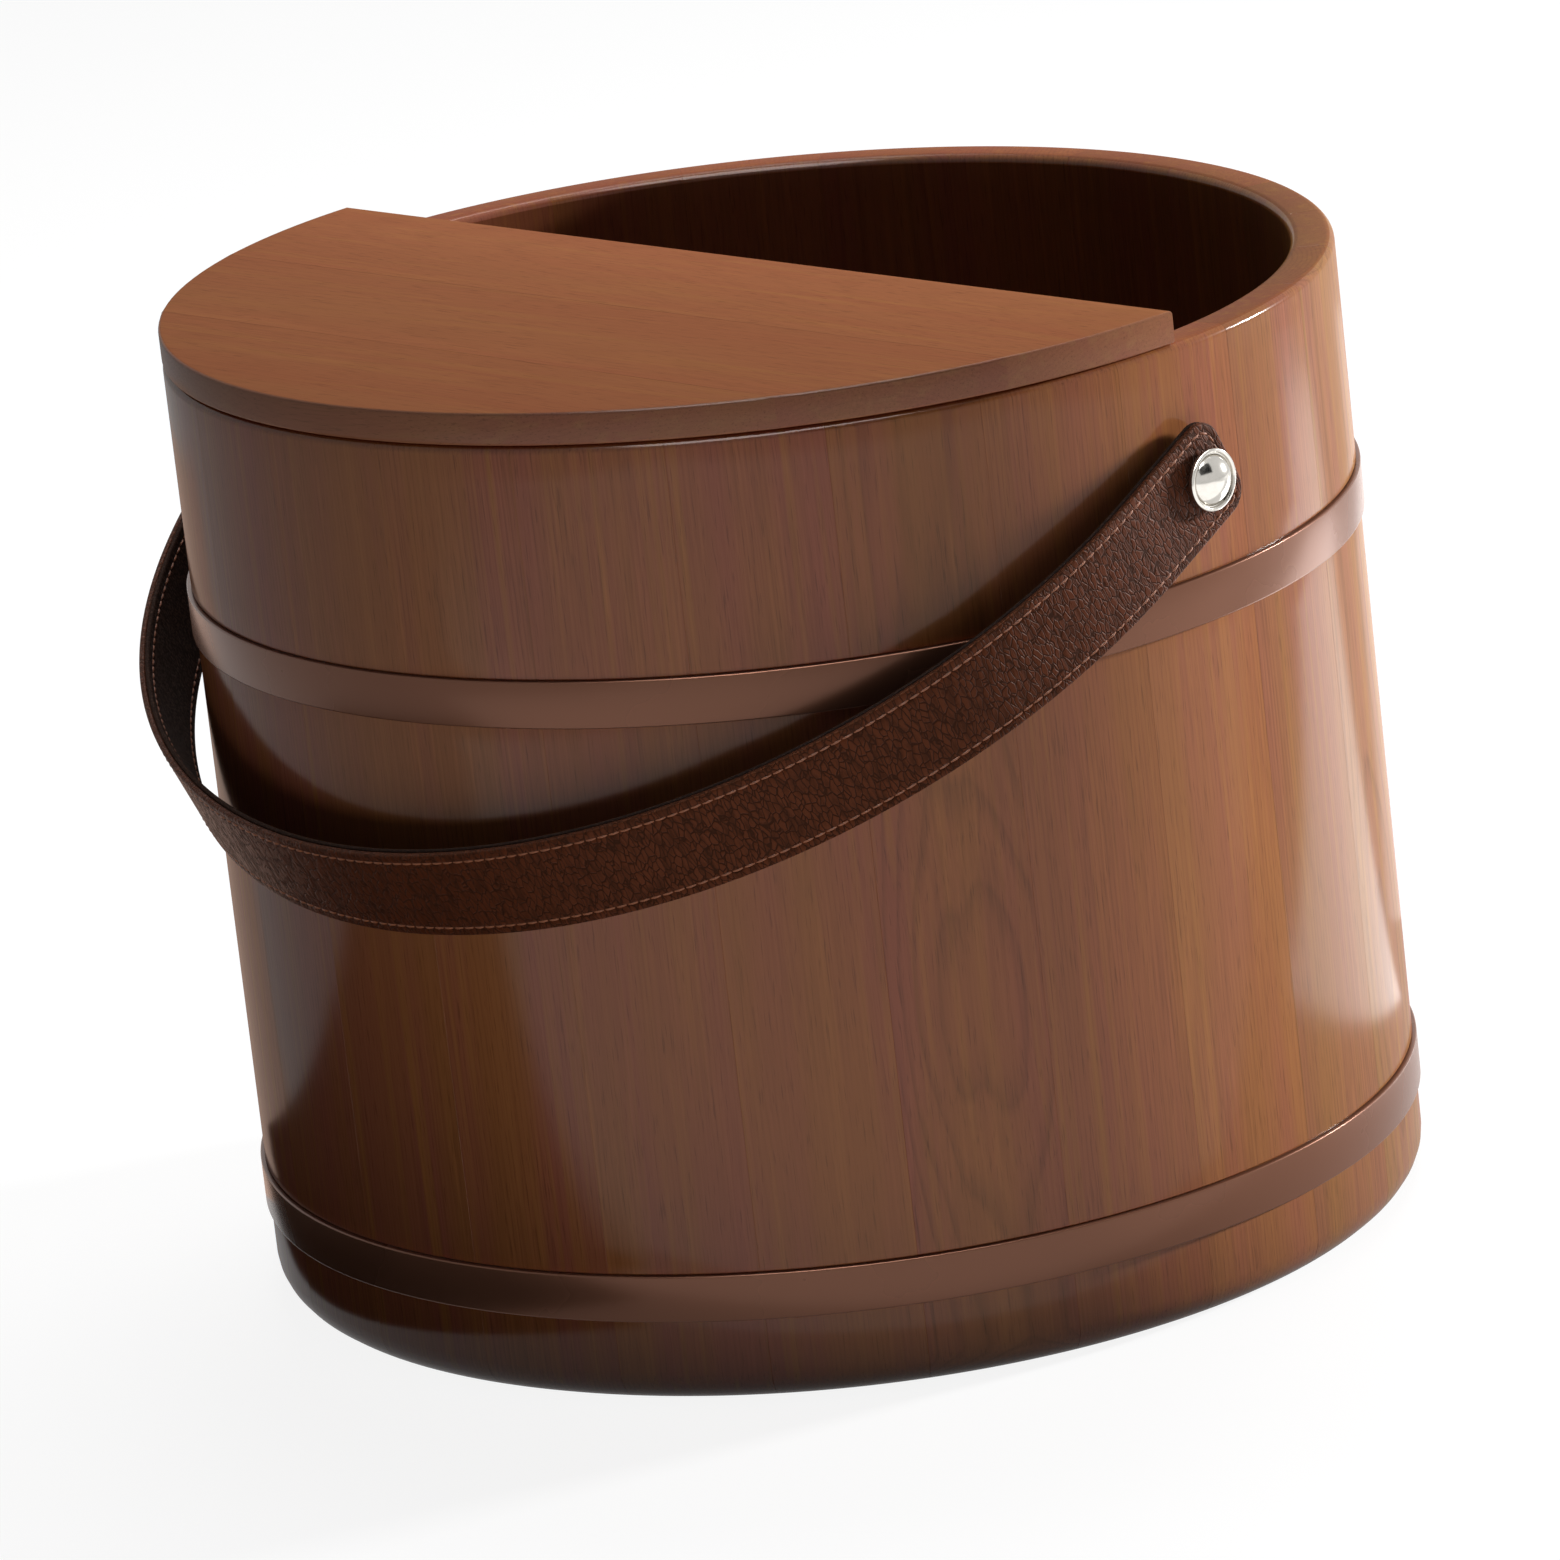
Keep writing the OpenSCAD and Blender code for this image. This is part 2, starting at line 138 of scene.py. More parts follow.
# Studio: a pale floor with light panels lying on it, a key from the right, a panel and a strip above,
# and black, cream and white cards that only reflections show: painted reflections, the black ones of shade,
# the glowing ones a painted warm reflection and a painted highlight
studio = {
    "floorSize": 16.0,
    "floorColour": "#707070",
    "floorGlow": 0.88,      # what the eye and mirrors see on top of the light that falls on it
    "surround": 0.04,
    "softboxes": [
        # name, degrees right of the camera, elevation, distance, width, height, watts
        ("keySoftbox", 107, 13, 2.6, 0.3, 0.3, 98),
        ("overheadPanel", 170, 62, 2.2, 1.2, 1.2, 35),
        ("topStrip", 50, 68, 1.8, 2.2, 0.1, 2.5),
    ],
    "floorPanels": [
        # name, degrees right of the camera, distance of the middle, turn, width, depth, watts
        ("frontPanel", 14, 1.05, 0, 2.4, 1.6, 10.6),
        ("rightPanel", 115.5, 0.8, 15, 0.27, 0.95, 3.9),
        ("edgePanel", 152, 0.8, 8, 0.26, 0.95, 0.8),
    ],
    "panelLift": 4 * mm,
    # painted reflections, seen only by mirrors: colour, glow; the glowing ones light nothing
    "cardPapers": {"black": ("#0a0a0a", 0.0), "cream": ("#ffdcc9", 1.25), "white": ("#ffffff", 14.0)},
    # painted reflections lying on the floor: name, paint, lift, degrees right of the camera, distance of the
    # middle, turn, width, depth
    "floorCards": [
        # painted shadow: a black sheet where the bucket's shadow lies on the floor, so that the lacquer
        # mirrors shade there
        ("floorCard", "black", 6 * mm, -73, 0.48, 0, 0.42, 0.54),
        # painted reflection: a glowing cream sheet that warms what the left of the wall mirrors
        ("creamCard", "cream", 4 * mm, -150, 0.72, 0, 0.5, 1.1),
    ],
    # painted reflections hanging above: name, paint, degrees right of the camera, elevation, distance, width,
    # height
    "hangingCards": [
        # painted reflection: a black sheet that puts a dark patch in the chrome domes
        ("hangingCard", "black", 30, 40, 1.5, 1.1, 0.8),
        # painted highlight: a glowing white sheet for pale lines along the rounded rims and edges
        ("whiteCard", "white", 0, 65, 1.5, 1.0, 1.2),
    ],
}


def standing(side, elevation, distance):  # frame that faces the bucket, Z away from it
    out = fromAngles(view["azimuth"] + side, elevation)
    facing = out.to_track_quat("Z", "Y").to_matrix().to_4x4()
    return Matrix.Translation(view["target"] + out * distance) @ facing


def lying(side, distance, turn, lift):
    # frame just above the floor, Z up, Y towards the bucket before the turn
    out = fromAngles(view["azimuth"] + side, 0)
    facing = Matrix.Rotation(math.radians(view["azimuth"] + side + turn), 4, "Z")
    return Matrix.Translation(out * distance + Vector((0, 0, lift))) @ facing


def addLamp(name, place, width, height, watts):
    data = bpy.data.lights.new(name, "AREA")
    data.shape = "RECTANGLE"
    data.size, data.size_y = width, height
    data.energy = watts
    lamp = bpy.data.objects.new(name, data)
    lamp.matrix_world = place
    scene.collection.objects.link(lamp)


def addSheet(name, place, width, height, material):  # floor or card
    corners = [place @ Vector((x * width / 2, y * height / 2, 0)) for x, y in squareCorners]
    mesh = bpy.data.meshes.new(name)
    mesh.from_pydata(corners, [], [(0, 1, 2, 3)])
    mesh.materials.append(material)
    sheet = bpy.data.objects.new(name, mesh)
    scene.collection.objects.link(sheet)
    return sheet


def seenDirectly(tree):  # 1 for what the eye sees, also by reflection or through glass
    path = addNode(tree, "ShaderNodeLightPath").outputs
    seen = path["Is Camera Ray"]
    for ray in ("Is Glossy Ray", "Is Transmission Ray"):
        seen = addNode(tree, "ShaderNodeMath", {0: seen, 1: path[ray]}, operation="MAXIMUM")
    return seen


def makeStudio():
    world = bpy.data.worlds.new("surround")
    world.use_nodes = True
    tree = world.node_tree
    tree.nodes.clear()
    strength = addNode(tree, "ShaderNodeMapRange",
                       {"Value": seenDirectly(tree), "To Min": studio["surround"], "To Max": 1.0})
    shade = addNode(tree, "ShaderNodeBackground", {"Color": grey(1), "Strength": strength})
    addNode(tree, "ShaderNodeOutputWorld", {"Surface": shade})
    scene.world = world

    material, tree = newMaterial("paleFloorPaper")  # matt paper sweep: white to the eye, with soft shadows
    matt = addNode(tree, "ShaderNodeBsdfDiffuse", {"Color": linear(studio["floorColour"])})
    glow = addNode(tree, "ShaderNodeMath", {0: seenDirectly(tree), 1: studio["floorGlow"]},
                   operation="MULTIPLY")
    light = addNode(tree, "ShaderNodeEmission", {"Color": grey(1), "Strength": glow})
    both = addNode(tree, "ShaderNodeAddShader", {0: matt, 1: light})
    addNode(tree, "ShaderNodeOutputMaterial", {"Surface": both})
    addSheet("floor", Matrix.Identity(4), studio["floorSize"], studio["floorSize"], material)

    for name, side, elevation, distance, width, height, watts in studio["softboxes"]:
        addLamp(name, standing(side, elevation, distance), width, height, watts)
    upwards = Matrix.Rotation(math.pi, 4, "X")
    for name, side, distance, turn, width, depth, watts in studio["floorPanels"]:
        addLamp(name, lying(side, distance, turn, studio["panelLift"]) @ upwards, width, depth, watts)

    sheetPaints, cards = {}, []
    for word, (colour, glow) in studio["cardPapers"].items():
        sheetPaints[word], tree = newMaterial(word + "CardPaper")
        kind, inputs = "ShaderNodeBsdfDiffuse", {"Color": linear(colour)}
        if glow:
            kind, inputs = "ShaderNodeEmission", {"Color": linear(colour), "Strength": glow}
        addNode(tree, "ShaderNodeOutputMaterial", {"Surface": addNode(tree, kind, inputs)})
    for name, sheetPaint, lift, side, distance, turn, width, depth in studio["floorCards"]:
        cards.append(addSheet(name, lying(side, distance, turn, lift), width, depth, sheetPaints[sheetPaint]))
    for name, sheetPaint, side, elevation, distance, width, height in studio["hangingCards"]:
        cards.append(addSheet(name, standing(side, elevation, distance), width, height, sheetPaints[sheetPaint]))
    # painted reflections: the camera, diffuse light and shadows pass through these sheets, and only mirrors
    # see them
    for card in cards:
        card.visible_camera = card.visible_diffuse = card.visible_shadow = False
    scene.view_settings.view_transform = "Standard"


makeStudio()
print("studio lit with", len(bpy.data.lights), "lamps")


# Materials
# Sawn hardwood, stained walnut brown and sprayed with satin lacquer: soft growth rings and fine fibres
# under a clear coat, with slow bands of redder and more olive stain along the grain
# red, olive and gold are the stain's bands; rings and fibres say how much each darkens it
woodKeys = ("red", "olive", "gold", "rings", "fibres", "rough", "specular", "coat", "coatRough")
woodTones = {
    "wall": ("#965640", "#985e37", "#a0653a", 0.2, 0.15, 0.42, 0.0, 0.32, 0.15),
    "rim": ("#8a4b32", "#8c5031", "#935732", 0.14, 0.08, 0.45, 0.0, 0.12, 0.2),
    # painted shade: the inside tones are darker than the wall's, for the shade deep in the bucket
    "inside": ("#7a452e", "#794929", "#85502c", 0.14, 0.12, 0.5, 0.0, 0.12, 0.3),
    "lid": ("#955a3c", "#975f3e", "#9a633e", 0.08, 0.07, 0.5, 0.0, 0.04, 0.3),
    "lidEdge": ("#905a45", "#915f44", "#956547", 0.1, 0.09, 0.45, 0.0, 0.22, 0.2),
    "base": ("#5a3323", "#5a3822", "#613f25", 0.2, 0.14, 0.5, 0.05, 0.1, 0.3),
    "batten": ("#794a35", "#7a5236", "#825a39", 0.2, 0.14, 0.55, 0.1, 0.1, 0.35),
}
woodGrain = {
    "ringWidth": 1.7 * mm,
    "ringWander": 5.0 * mm,
    "earlyTone": 0.15,          # of the dark line, at the start of a ring
    "lateSpan": (0.55, 0.9),    # part of a ring over which the dark line of late wood comes up
    # noise drawn out along the grain: width, length, detail, and the span of it that goes from none to full
    "wander": (34 * mm, 260 * mm, 2.0, 0.0, 1.0),
    "fibre": (1.0 * mm, 45 * mm, 4.0, 0.3, 0.7),    # drawn as wide as the render can show
    "patch": (45 * mm, 160 * mm, 2.0, 0.35, 0.65),  # places where the fibres show more, and where less
    "gold": (4.0 * mm, 320 * mm, 1.0, 0.52, 0.78),
    "band": (26 * mm, 380 * mm, 2.0, 0.38, 0.62),
    "pore": (0.5 * mm, 12 * mm, 1.0, 0.60, 0.72),
    "streakRough": 0.55,
    "patchShare": (0.3, 1.1),
    "poreDark": 0.24,
    "roughSpread": 0.06,
    "bump": 0.12,
    "bumpDepth": 0.2 * mm,
}


def makeWood(name, part, fromLog=True):
    material, tree = newMaterial(name)
    g, look = woodGrain, dict(zip(woodKeys, woodTones[part]))
    if fromLog:  # each piece carries its place in the log: across, through, along
        place = addNode(tree, "ShaderNodeAttribute", attribute_name="log").outputs["Vector"]
    else:
        place = addNode(tree, "ShaderNodeTexCoord").outputs["Object"]

    def streaks(word, least=0.0, most=1.0):
        width, length, detail, low, high = g[word]
        stretched = addNode(tree, "ShaderNodeMapping",
                            {"Vector": place, "Scale": (1 / width, 1 / width, 1 / length)})
        noise = addNode(tree, "ShaderNodeTexNoise",
                        {"Vector": stretched, "Scale": 1.0, "Detail": detail, "Roughness": g["streakRough"]})
        return addNode(tree, "ShaderNodeMapRange",
                       {"Value": noise, "From Min": low, "From Max": high, "To Min": least, "To Max": most})

    wander, fibre, pore, band, gold = map(streaks, ("wander", "fibre", "pore", "band", "gold"))
    flat = addNode(tree, "ShaderNodeVectorMath", {0: place, 1: (1, 1, 0)}, operation="MULTIPLY")
    fromPith = addNode(tree, "ShaderNodeVectorMath", {0: flat}, operation="LENGTH").outputs["Value"]
    wavy = addNode(tree, "ShaderNodeMath", {0: wander, 1: g["ringWander"], 2: fromPith},
                   operation="MULTIPLY_ADD")
    rings = addNode(tree, "ShaderNodeMath", {0: wavy, 1: g["ringWidth"]}, operation="DIVIDE")
    ring = addNode(tree, "ShaderNodeMath", {0: rings}, operation="FRACT")
    low, high = g["lateSpan"]
    early = grey(g["earlyTone"])
    late = addNode(tree, "ShaderNodeValToRGB", {"Fac": ring},
                   stops=[(0.0, early), (1.0, early), (low, grey(0.0)), (high, grey(1.0))])
    stain = addNode(tree, "ShaderNodeMix", {0: band, 6: linear(look["red"]), 7: linear(look["olive"])},
                    data_type="RGBA")
    stain = addNode(tree, "ShaderNodeMix", {0: gold, 6: stain, 7: linear(look["gold"])}, data_type="RGBA")
    # shade = 1 - rings - pores, times the fibres; the colour takes it and the tint of the piece
    ringDark = -look["rings"]
    if fromLog:  # flat-sawn pieces show their rings most
        figure = addNode(tree, "ShaderNodeAttribute", attribute_name="figure").outputs["Fac"]
        ringDark = addNode(tree, "ShaderNodeMath", {0: figure, 1: -look["rings"]}, operation="MULTIPLY")
    ringShade = addNode(tree, "ShaderNodeMath", {0: late, 1: ringDark, 2: 1.0}, operation="MULTIPLY_ADD")
    poreShade = addNode(tree, "ShaderNodeMath", {0: pore, 1: -g["poreDark"], 2: ringShade},
                        operation="MULTIPLY_ADD")
    fibreTone = addNode(tree, "ShaderNodeMapRange",
                        {"Value": fibre, "To Min": -look["fibres"], "To Max": look["fibres"]})
    rough = addNode(tree, "ShaderNodeMapRange",
                    {"Value": fibre, "To Min": look["rough"] + g["roughSpread"],
                     "To Max": look["rough"] - g["roughSpread"]})
    patchShare = streaks("patch", *g["patchShare"])
    fibreShade = addNode(tree, "ShaderNodeMath", {0: fibreTone, 1: patchShare, 2: 1.0},
                         operation="MULTIPLY_ADD")
    shade = addNode(tree, "ShaderNodeMath", {0: poreShade, 1: fibreShade}, operation="MULTIPLY")
    colour = addNode(tree, "ShaderNodeVectorMath", {0: stain, "Scale": shade}, operation="SCALE")
    if fromLog:
        tint = addNode(tree, "ShaderNodeAttribute", attribute_name="tint").outputs["Vector"]
        colour = addNode(tree, "ShaderNodeVectorMath", {0: colour, 1: tint}, operation="MULTIPLY")
    bump = addNode(tree, "ShaderNodeBump",
                   {"Height": fibreShade, "Strength": g["bump"], "Distance": g["bumpDepth"]})
    surface = addNode(tree, "ShaderNodeBsdfPrincipled", {
        "Base Color": colour, "Roughness": rough, "Normal": bump, "Specular IOR Level": look["specular"],
        "Coat Weight": look["coat"], "Coat Roughness": look["coatRough"]})
    addNode(tree, "ShaderNodeOutputMaterial", {"Surface": surface})
    return material


finishLooks = {
    # Rolled steel band under bronze-brown lacquer with metal flake in it: even colour, soft gloss and a
    # faint orange peel
    "enamel": {"colour": "#714b3a", "pale": "#77503e", "cloud": (60 * mm, 4.0), "rough": (0.21, 0.33),
               "metallic": 0.28, "specular": 0.05, "coat": 0.08, "peel": (1.6 * mm, 1.0), "bump": 0.08},
    # Turned brass, nickelled and chromed: a clear mirror with hair scratches from wiping
    "chrome": {"colour": "#ccc8c1", "pale": "#b9b5ae", "cloud": (2.5 * mm, 5.0), "rough": (0.12, 0.17),
               "metallic": 1.0, "specular": 0.5, "coat": 0.0, "peel": (2.5 * mm, 5.0), "bump": 0.0},
    # Zinc-plated mild steel: duller, with a cloudy grey bloom
    "zinc": {"colour": "#9fa2a6", "pale": "#85888c", "cloud": (4 * mm, 5.0), "rough": (0.30, 0.44),
             "metallic": 1.0, "specular": 0.5, "coat": 0.0, "peel": (4 * mm, 5.0), "bump": 0.0},
    # Bonded nylon sewing thread: a red-brown twist with a little sheen
    "thread": {"colour": "#733f24", "pale": "#9c5c35", "cloud": (0.5 * mm, 2.0), "rough": (0.5, 0.5),
               "metallic": 0.0, "specular": 0.4, "coat": 0.0, "peel": (0.5 * mm, 2.0), "bump": 0.4},
}
finishCoatRough = 0.14
finishBumpDepth = 0.1 * mm


def makeFinish(name, kind):  # cloud and peel are the width and detail of a noise
    material, tree = newMaterial(name)
    look = finishLooks[kind]
    place = addNode(tree, "ShaderNodeTexCoord").outputs["Object"]
    cloud, peel = (
        addNode(tree, "ShaderNodeTexNoise", {"Vector": place, "Scale": 1 / width, "Detail": detail})
        for width, detail in (look["cloud"], look["peel"]))
    colour = addNode(tree, "ShaderNodeMix", {0: cloud, 6: linear(look["colour"]), 7: linear(look["pale"])},
                     data_type="RGBA")
    low, high = look["rough"]
    rough = addNode(tree, "ShaderNodeMapRange", {"Value": cloud, "To Min": low, "To Max": high})
    bump = addNode(tree, "ShaderNodeBump",
                   {"Height": peel, "Strength": look["bump"], "Distance": finishBumpDepth})
    surface = addNode(tree, "ShaderNodeBsdfPrincipled", {
        "Base Color": colour, "Roughness": rough, "Normal": bump, "Metallic": look["metallic"],
        "Specular IOR Level": look["specular"], "Coat Weight": look["coat"],
        "Coat Roughness": finishCoatRough})
    addNode(tree, "ShaderNodeOutputMaterial", {"Surface": surface})
    return material


# Drum-dyed cowhide, embossed with a pebbled grain and waxed: rounded pebbles with darker creases, and a
# soft gloss on top
# Split leather lining: finer grain, almost matt
leatherTones = {
    "outer": {"crease": "#251007", "pebble": "#4b2413", "rub": "#542917", "cell": 1.7 * mm, "rough": 0.45,
              "creaseWidth": 0.13, "wrinkle": 2.0 * mm, "depth": 0.3 * mm, "strength": 0.8,
              "specular": 0.13, "sheen": "#ffb389"},
    "lining": {"crease": "#1f110b", "pebble": "#352016", "rub": "#3d271b", "cell": 0.9 * mm, "rough": 0.62,
               "creaseWidth": 0.25, "wrinkle": 0.9 * mm, "depth": 0.12 * mm, "strength": 0.5,
               "specular": 0.04, "sheen": "#ffffff"},
}
hideGrain = {
    "warp": 0.3,                # waves in a pebble's width, which push the pebbles out of line
    "warpDetail": 2.0,
    "push": 1.2,                # how far, in pebbles
    "detail": 3.0,              # of the folds, the specks and the cloud
    "pebbleDraw": 0.4,          # pebbles and folds are drawn out across the strap
    "foldDraw": 0.2,
    "foldSpan": (0.64, 0.44),
    "foldTone": 0.35,
    "fine": 4,                  # specks in a pebble's width
    "fineHeight": 0.15,
    "cloud": 22 * mm,
    "creaseRough": 0.2,
}


def makeLeather(name, layer):
    material, tree = newMaterial(name)
    g, look = hideGrain, leatherTones[layer]
    # place on the flat hide: along, across, height
    flat = addNode(tree, "ShaderNodeAttribute", attribute_name="flat").outputs["Vector"]
    warp = addNode(tree, "ShaderNodeTexNoise",
                   {"Vector": flat, "Scale": g["warp"] / look["cell"], "Detail": g["warpDetail"]})
    pushed = addNode(tree, "ShaderNodeVectorMath",
                     {0: warp.outputs["Color"], 1: (look["cell"] * g["push"],) * 3, 2: flat},
                     operation="MULTIPLY_ADD")
    drawn = addNode(tree, "ShaderNodeMapping", {"Vector": pushed, "Scale": (1.0, g["pebbleDraw"], 1.0)})
    cells = addNode(tree, "ShaderNodeTexVoronoi", {"Vector": drawn, "Scale": 1 / look["cell"]},
                    feature="DISTANCE_TO_EDGE")
    dome = addNode(tree, "ShaderNodeMapRange",
                   {"Value": cells, "From Min": 0.0, "From Max": look["creaseWidth"]},
                   interpolation_type="SMOOTHERSTEP")
    across = addNode(tree, "ShaderNodeMapping",
                     {"Vector": pushed, "Scale": (1 / look["wrinkle"], g["foldDraw"] / look["wrinkle"], 1.0)})
    folds = addNode(tree, "ShaderNodeTexNoise", {"Vector": across, "Scale": 1.0, "Detail": g["detail"]})
    low, high = g["foldSpan"]
    ridge = addNode(tree, "ShaderNodeMapRange", {"Value": folds, "From Min": low, "From Max": high,
                                                 "To Min": g["foldTone"], "To Max": 1.0})
    top = addNode(tree, "ShaderNodeMath", {0: dome, 1: ridge}, operation="MULTIPLY")
    fine = addNode(tree, "ShaderNodeTexNoise",
                   {"Vector": flat, "Scale": g["fine"] / look["cell"], "Detail": g["detail"]})
    cloud = addNode(tree, "ShaderNodeTexNoise",
                    {"Vector": flat, "Scale": 1 / g["cloud"], "Detail": g["detail"]})
    tone = addNode(tree, "ShaderNodeMix", {0: cloud, 6: linear(look["pebble"]), 7: linear(look["rub"])},
                   data_type="RGBA")
    colour = addNode(tree, "ShaderNodeMix", {0: top, 6: linear(look["crease"]), 7: tone}, data_type="RGBA")
    height = addNode(tree, "ShaderNodeMath", {0: fine, 1: g["fineHeight"], 2: top}, operation="MULTIPLY_ADD")
    bump = addNode(tree, "ShaderNodeBump",
                   {"Height": height, "Strength": look["strength"], "Distance": look["depth"]})
    rough = addNode(tree, "ShaderNodeMapRange",
                    {"Value": top, "To Min": look["rough"] + g["creaseRough"], "To Max": look["rough"]})
    surface = addNode(tree, "ShaderNodeBsdfPrincipled", {
        "Base Color": colour, "Roughness": rough, "Normal": bump, "Specular IOR Level": look["specular"],
        "Specular Tint": linear(look["sheen"])})
    addNode(tree, "ShaderNodeOutputMaterial", {"Surface": surface})
    return material


wallWood = makeWood("lacqueredWallWood", "wall")
shadedInsideWood = makeWood("sealedInnerWood", "inside")   # painted shade: darker, as the deep inside of the bucket lies in shade
rimWood = makeWood("stainedEndGrain", "rim")         # end grain, which drinks more stain
lidWood = makeWood("waxedLidWood", "lid")
lidEdgeWood = makeWood("lacqueredLidEdgeWood", "lidEdge")
baseWood = makeWood("stainedBaseWood", "base")
battenWood = makeWood("stainedBattenWood", "batten")
pinWood = makeWood("beechPinWood", "batten", fromLog=False)
hoopEnamel = makeFinish("brownHoopEnamel", "enamel")
studChrome = makeFinish("chromedBrass", "chrome")
plainSteel = makeFinish("zincPlatedSteel", "zinc")
strapHide = makeLeather("pebbledCowhide", "outer")
liningHide = makeLeather("splitLeatherLining", "lining")
sewingThread = makeFinish("nylonThread", "thread")
print("materials made:", len(bpy.data.materials))


# Mesh helpers
weld = 0.002 * mm       # points closer than this become one
tiny = 1e-6
straight = 1e-4         # two edges that turn less than this run on in one line
softTurn = 32           # degrees between two faces that still shade as one
logSpacing = 1.7        # from one piece to the next along the log, so that no two share their grain


def roundedOutline(corners, steps=6):  # corners are (x, y, radius), in order; each radius becomes an arc
    outline = []
    for i, (x, y, radius) in enumerate(corners):
        here = Vector((x, y))
        back = (Vector(corners[i - 1][:2]) - here).normalized()
        on = (Vector(corners[(i + 1) % len(corners)][:2]) - here).normalized()
        if radius < tiny:
            outline.append(here)
            continue
        half = math.acos(max(-1, min(1, back.dot(on)))) / 2
        middle = here + (back + on).normalized() * radius / math.sin(half)
        first = here + back * radius / math.tan(half) - middle
        last = here + on * radius / math.tan(half) - middle
        sweep = math.atan2(first.x * last.y - first.y * last.x, first.dot(last))
        for k in range(steps + 1):
            outline.append(middle + Matrix.Rotation(sweep * k / steps, 2) @ first)
    return outline


def skin(rings, closed=False, caps=True):  # quads between rings of equal count
    count, size = len(rings), len(rings[0])
    points = [p for ring in rings for p in ring]
    faces = []
    for i in range(count if closed else count - 1):
        for j in range(size):
            a, b = i * size, (i + 1) % count * size
            faces.append((a + j, a + (j + 1) % size, b + (j + 1) % size, b + j))
    if caps and not closed:
        faces.append(tuple(range(size)))
        faces.append(tuple(range((count - 1) * size, count * size)))
    return points, faces


def makePiece(name, points, faces, material, sharp=softTurn, flat=None):
    shape = bmesh.new()
    layer = shape.verts.layers.float_vector.new("flat") if flat else None
    corners = [shape.verts.new(p) for p in points]
    for corner, place in zip(corners, flat or []):  # place of each point on the flat hide
        corner[layer] = place
    for face in faces:
        shape.faces.new([corners[i] for i in face])
    bmesh.ops.remove_doubles(shape, verts=shape.verts, dist=weld)
    bmesh.ops.dissolve_degenerate(shape, edges=shape.edges, dist=weld)
    bmesh.ops.recalc_face_normals(shape, faces=shape.faces)
    mesh = bpy.data.meshes.new(name)
    shape.to_mesh(mesh)
    shape.free()
    mesh.materials.append(material)
    piece = bpy.data.objects.new(name, mesh)
    scene.collection.objects.link(piece)
    smooth(mesh, sharp)
    return piece


def smooth(mesh, sharp):
    mesh.polygons.foreach_set("use_smooth", [True] * len(mesh.polygons))
    mesh.set_sharp_from_angle(angle=math.radians(sharp))


def settle(piece, body, slot, *nodes):  # the piece moves with its body and stands for its nodes
    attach(piece, body)
    if nodes:
        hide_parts(*nodes)


def bake(piece, sharp=softTurn):  # turns what the modifiers make into a plain mesh
    made = bpy.data.meshes.new_from_object(piece.evaluated_get(bpy.context.evaluated_depsgraph_get()))
    piece.modifiers.clear()
    old = piece.data
    piece.data = made
    made.name = piece.name
    bpy.data.meshes.remove(old)
    smooth(made, sharp)


def drill(piece, *cutters, sharp=softTurn):
    for cutter in cutters:
        cut = piece.modifiers.new("drill", "BOOLEAN")
        cut.operation = "DIFFERENCE"
        cut.solver = "EXACT"
        cut.object = cutter
    bpy.context.view_layer.update()
    bake(piece, sharp)
    for cutter in cutters:
        bpy.data.objects.remove(cutter)


def lathe(name, profile, place, material, segments=64, sharp=softTurn):
    # profile is (radius, height) from one end of the axis to the other
    rings = []
    for k in range(segments):
        angle = 2 * math.pi * k / segments
        c, s = math.cos(angle), math.sin(angle)
        rings.append([place @ Vector((radius * c, radius * s, height)) for radius, height in profile])
    points, faces = skin(rings, closed=True)
    return makePiece(name, points, faces, material, sharp)


def rodProfile(radius, reach):  # a rod along the axis, for drilling
    return [(0, -reach), (radius, -reach), (radius, reach), (0, reach)]


def outwards(angle, height=0.0, reach=0.0):  # frame on the wall: Z out, X round the wall, Y up
    turn = Matrix.Rotation(angle, 4, "Z") @ Matrix(((0, 0, 1), (1, 0, 0), (0, 1, 0))).to_4x4()
    out = Vector((math.cos(angle), math.sin(angle), 0))
    return Matrix.Translation(out * reach + Vector((0, 0, height))) @ turn


def cutFromLog(piece, along, across, pith, tilt, seed, tint, figure=0.5, swell=0.0, swellMiddle=0.0):
    # writes each point's place in the log that the piece was sawn from, the tint of the piece, which on the
    # staves also carries painted key light, and how much its rings show; swell is a bulge of the log along
    # the piece, which closes the rings to long ovals
    through = along.cross(across)
    mesh = piece.data
    log = []
    for point in mesh.vertices:
        run = point.co.dot(along)
        bulge = swell * math.exp(-((run - swellMiddle) / wall["swellLength"]) ** 2)
        log += [point.co.dot(across) - pith[0] - tilt[0] * run,
                point.co.dot(through) - pith[1] - tilt[1] * run + bulge,
                run + logSpacing * seed]
    count = len(mesh.vertices)
    for word, kind, field, values in (("log", "FLOAT_VECTOR", "vector", log),
                                      ("tint", "FLOAT_VECTOR", "vector", list(tint) * count),
                                      ("figure", "FLOAT", "value", [figure] * count)):
        mesh.attributes.new(word, kind, "POINT").data.foreach_set(field, values)


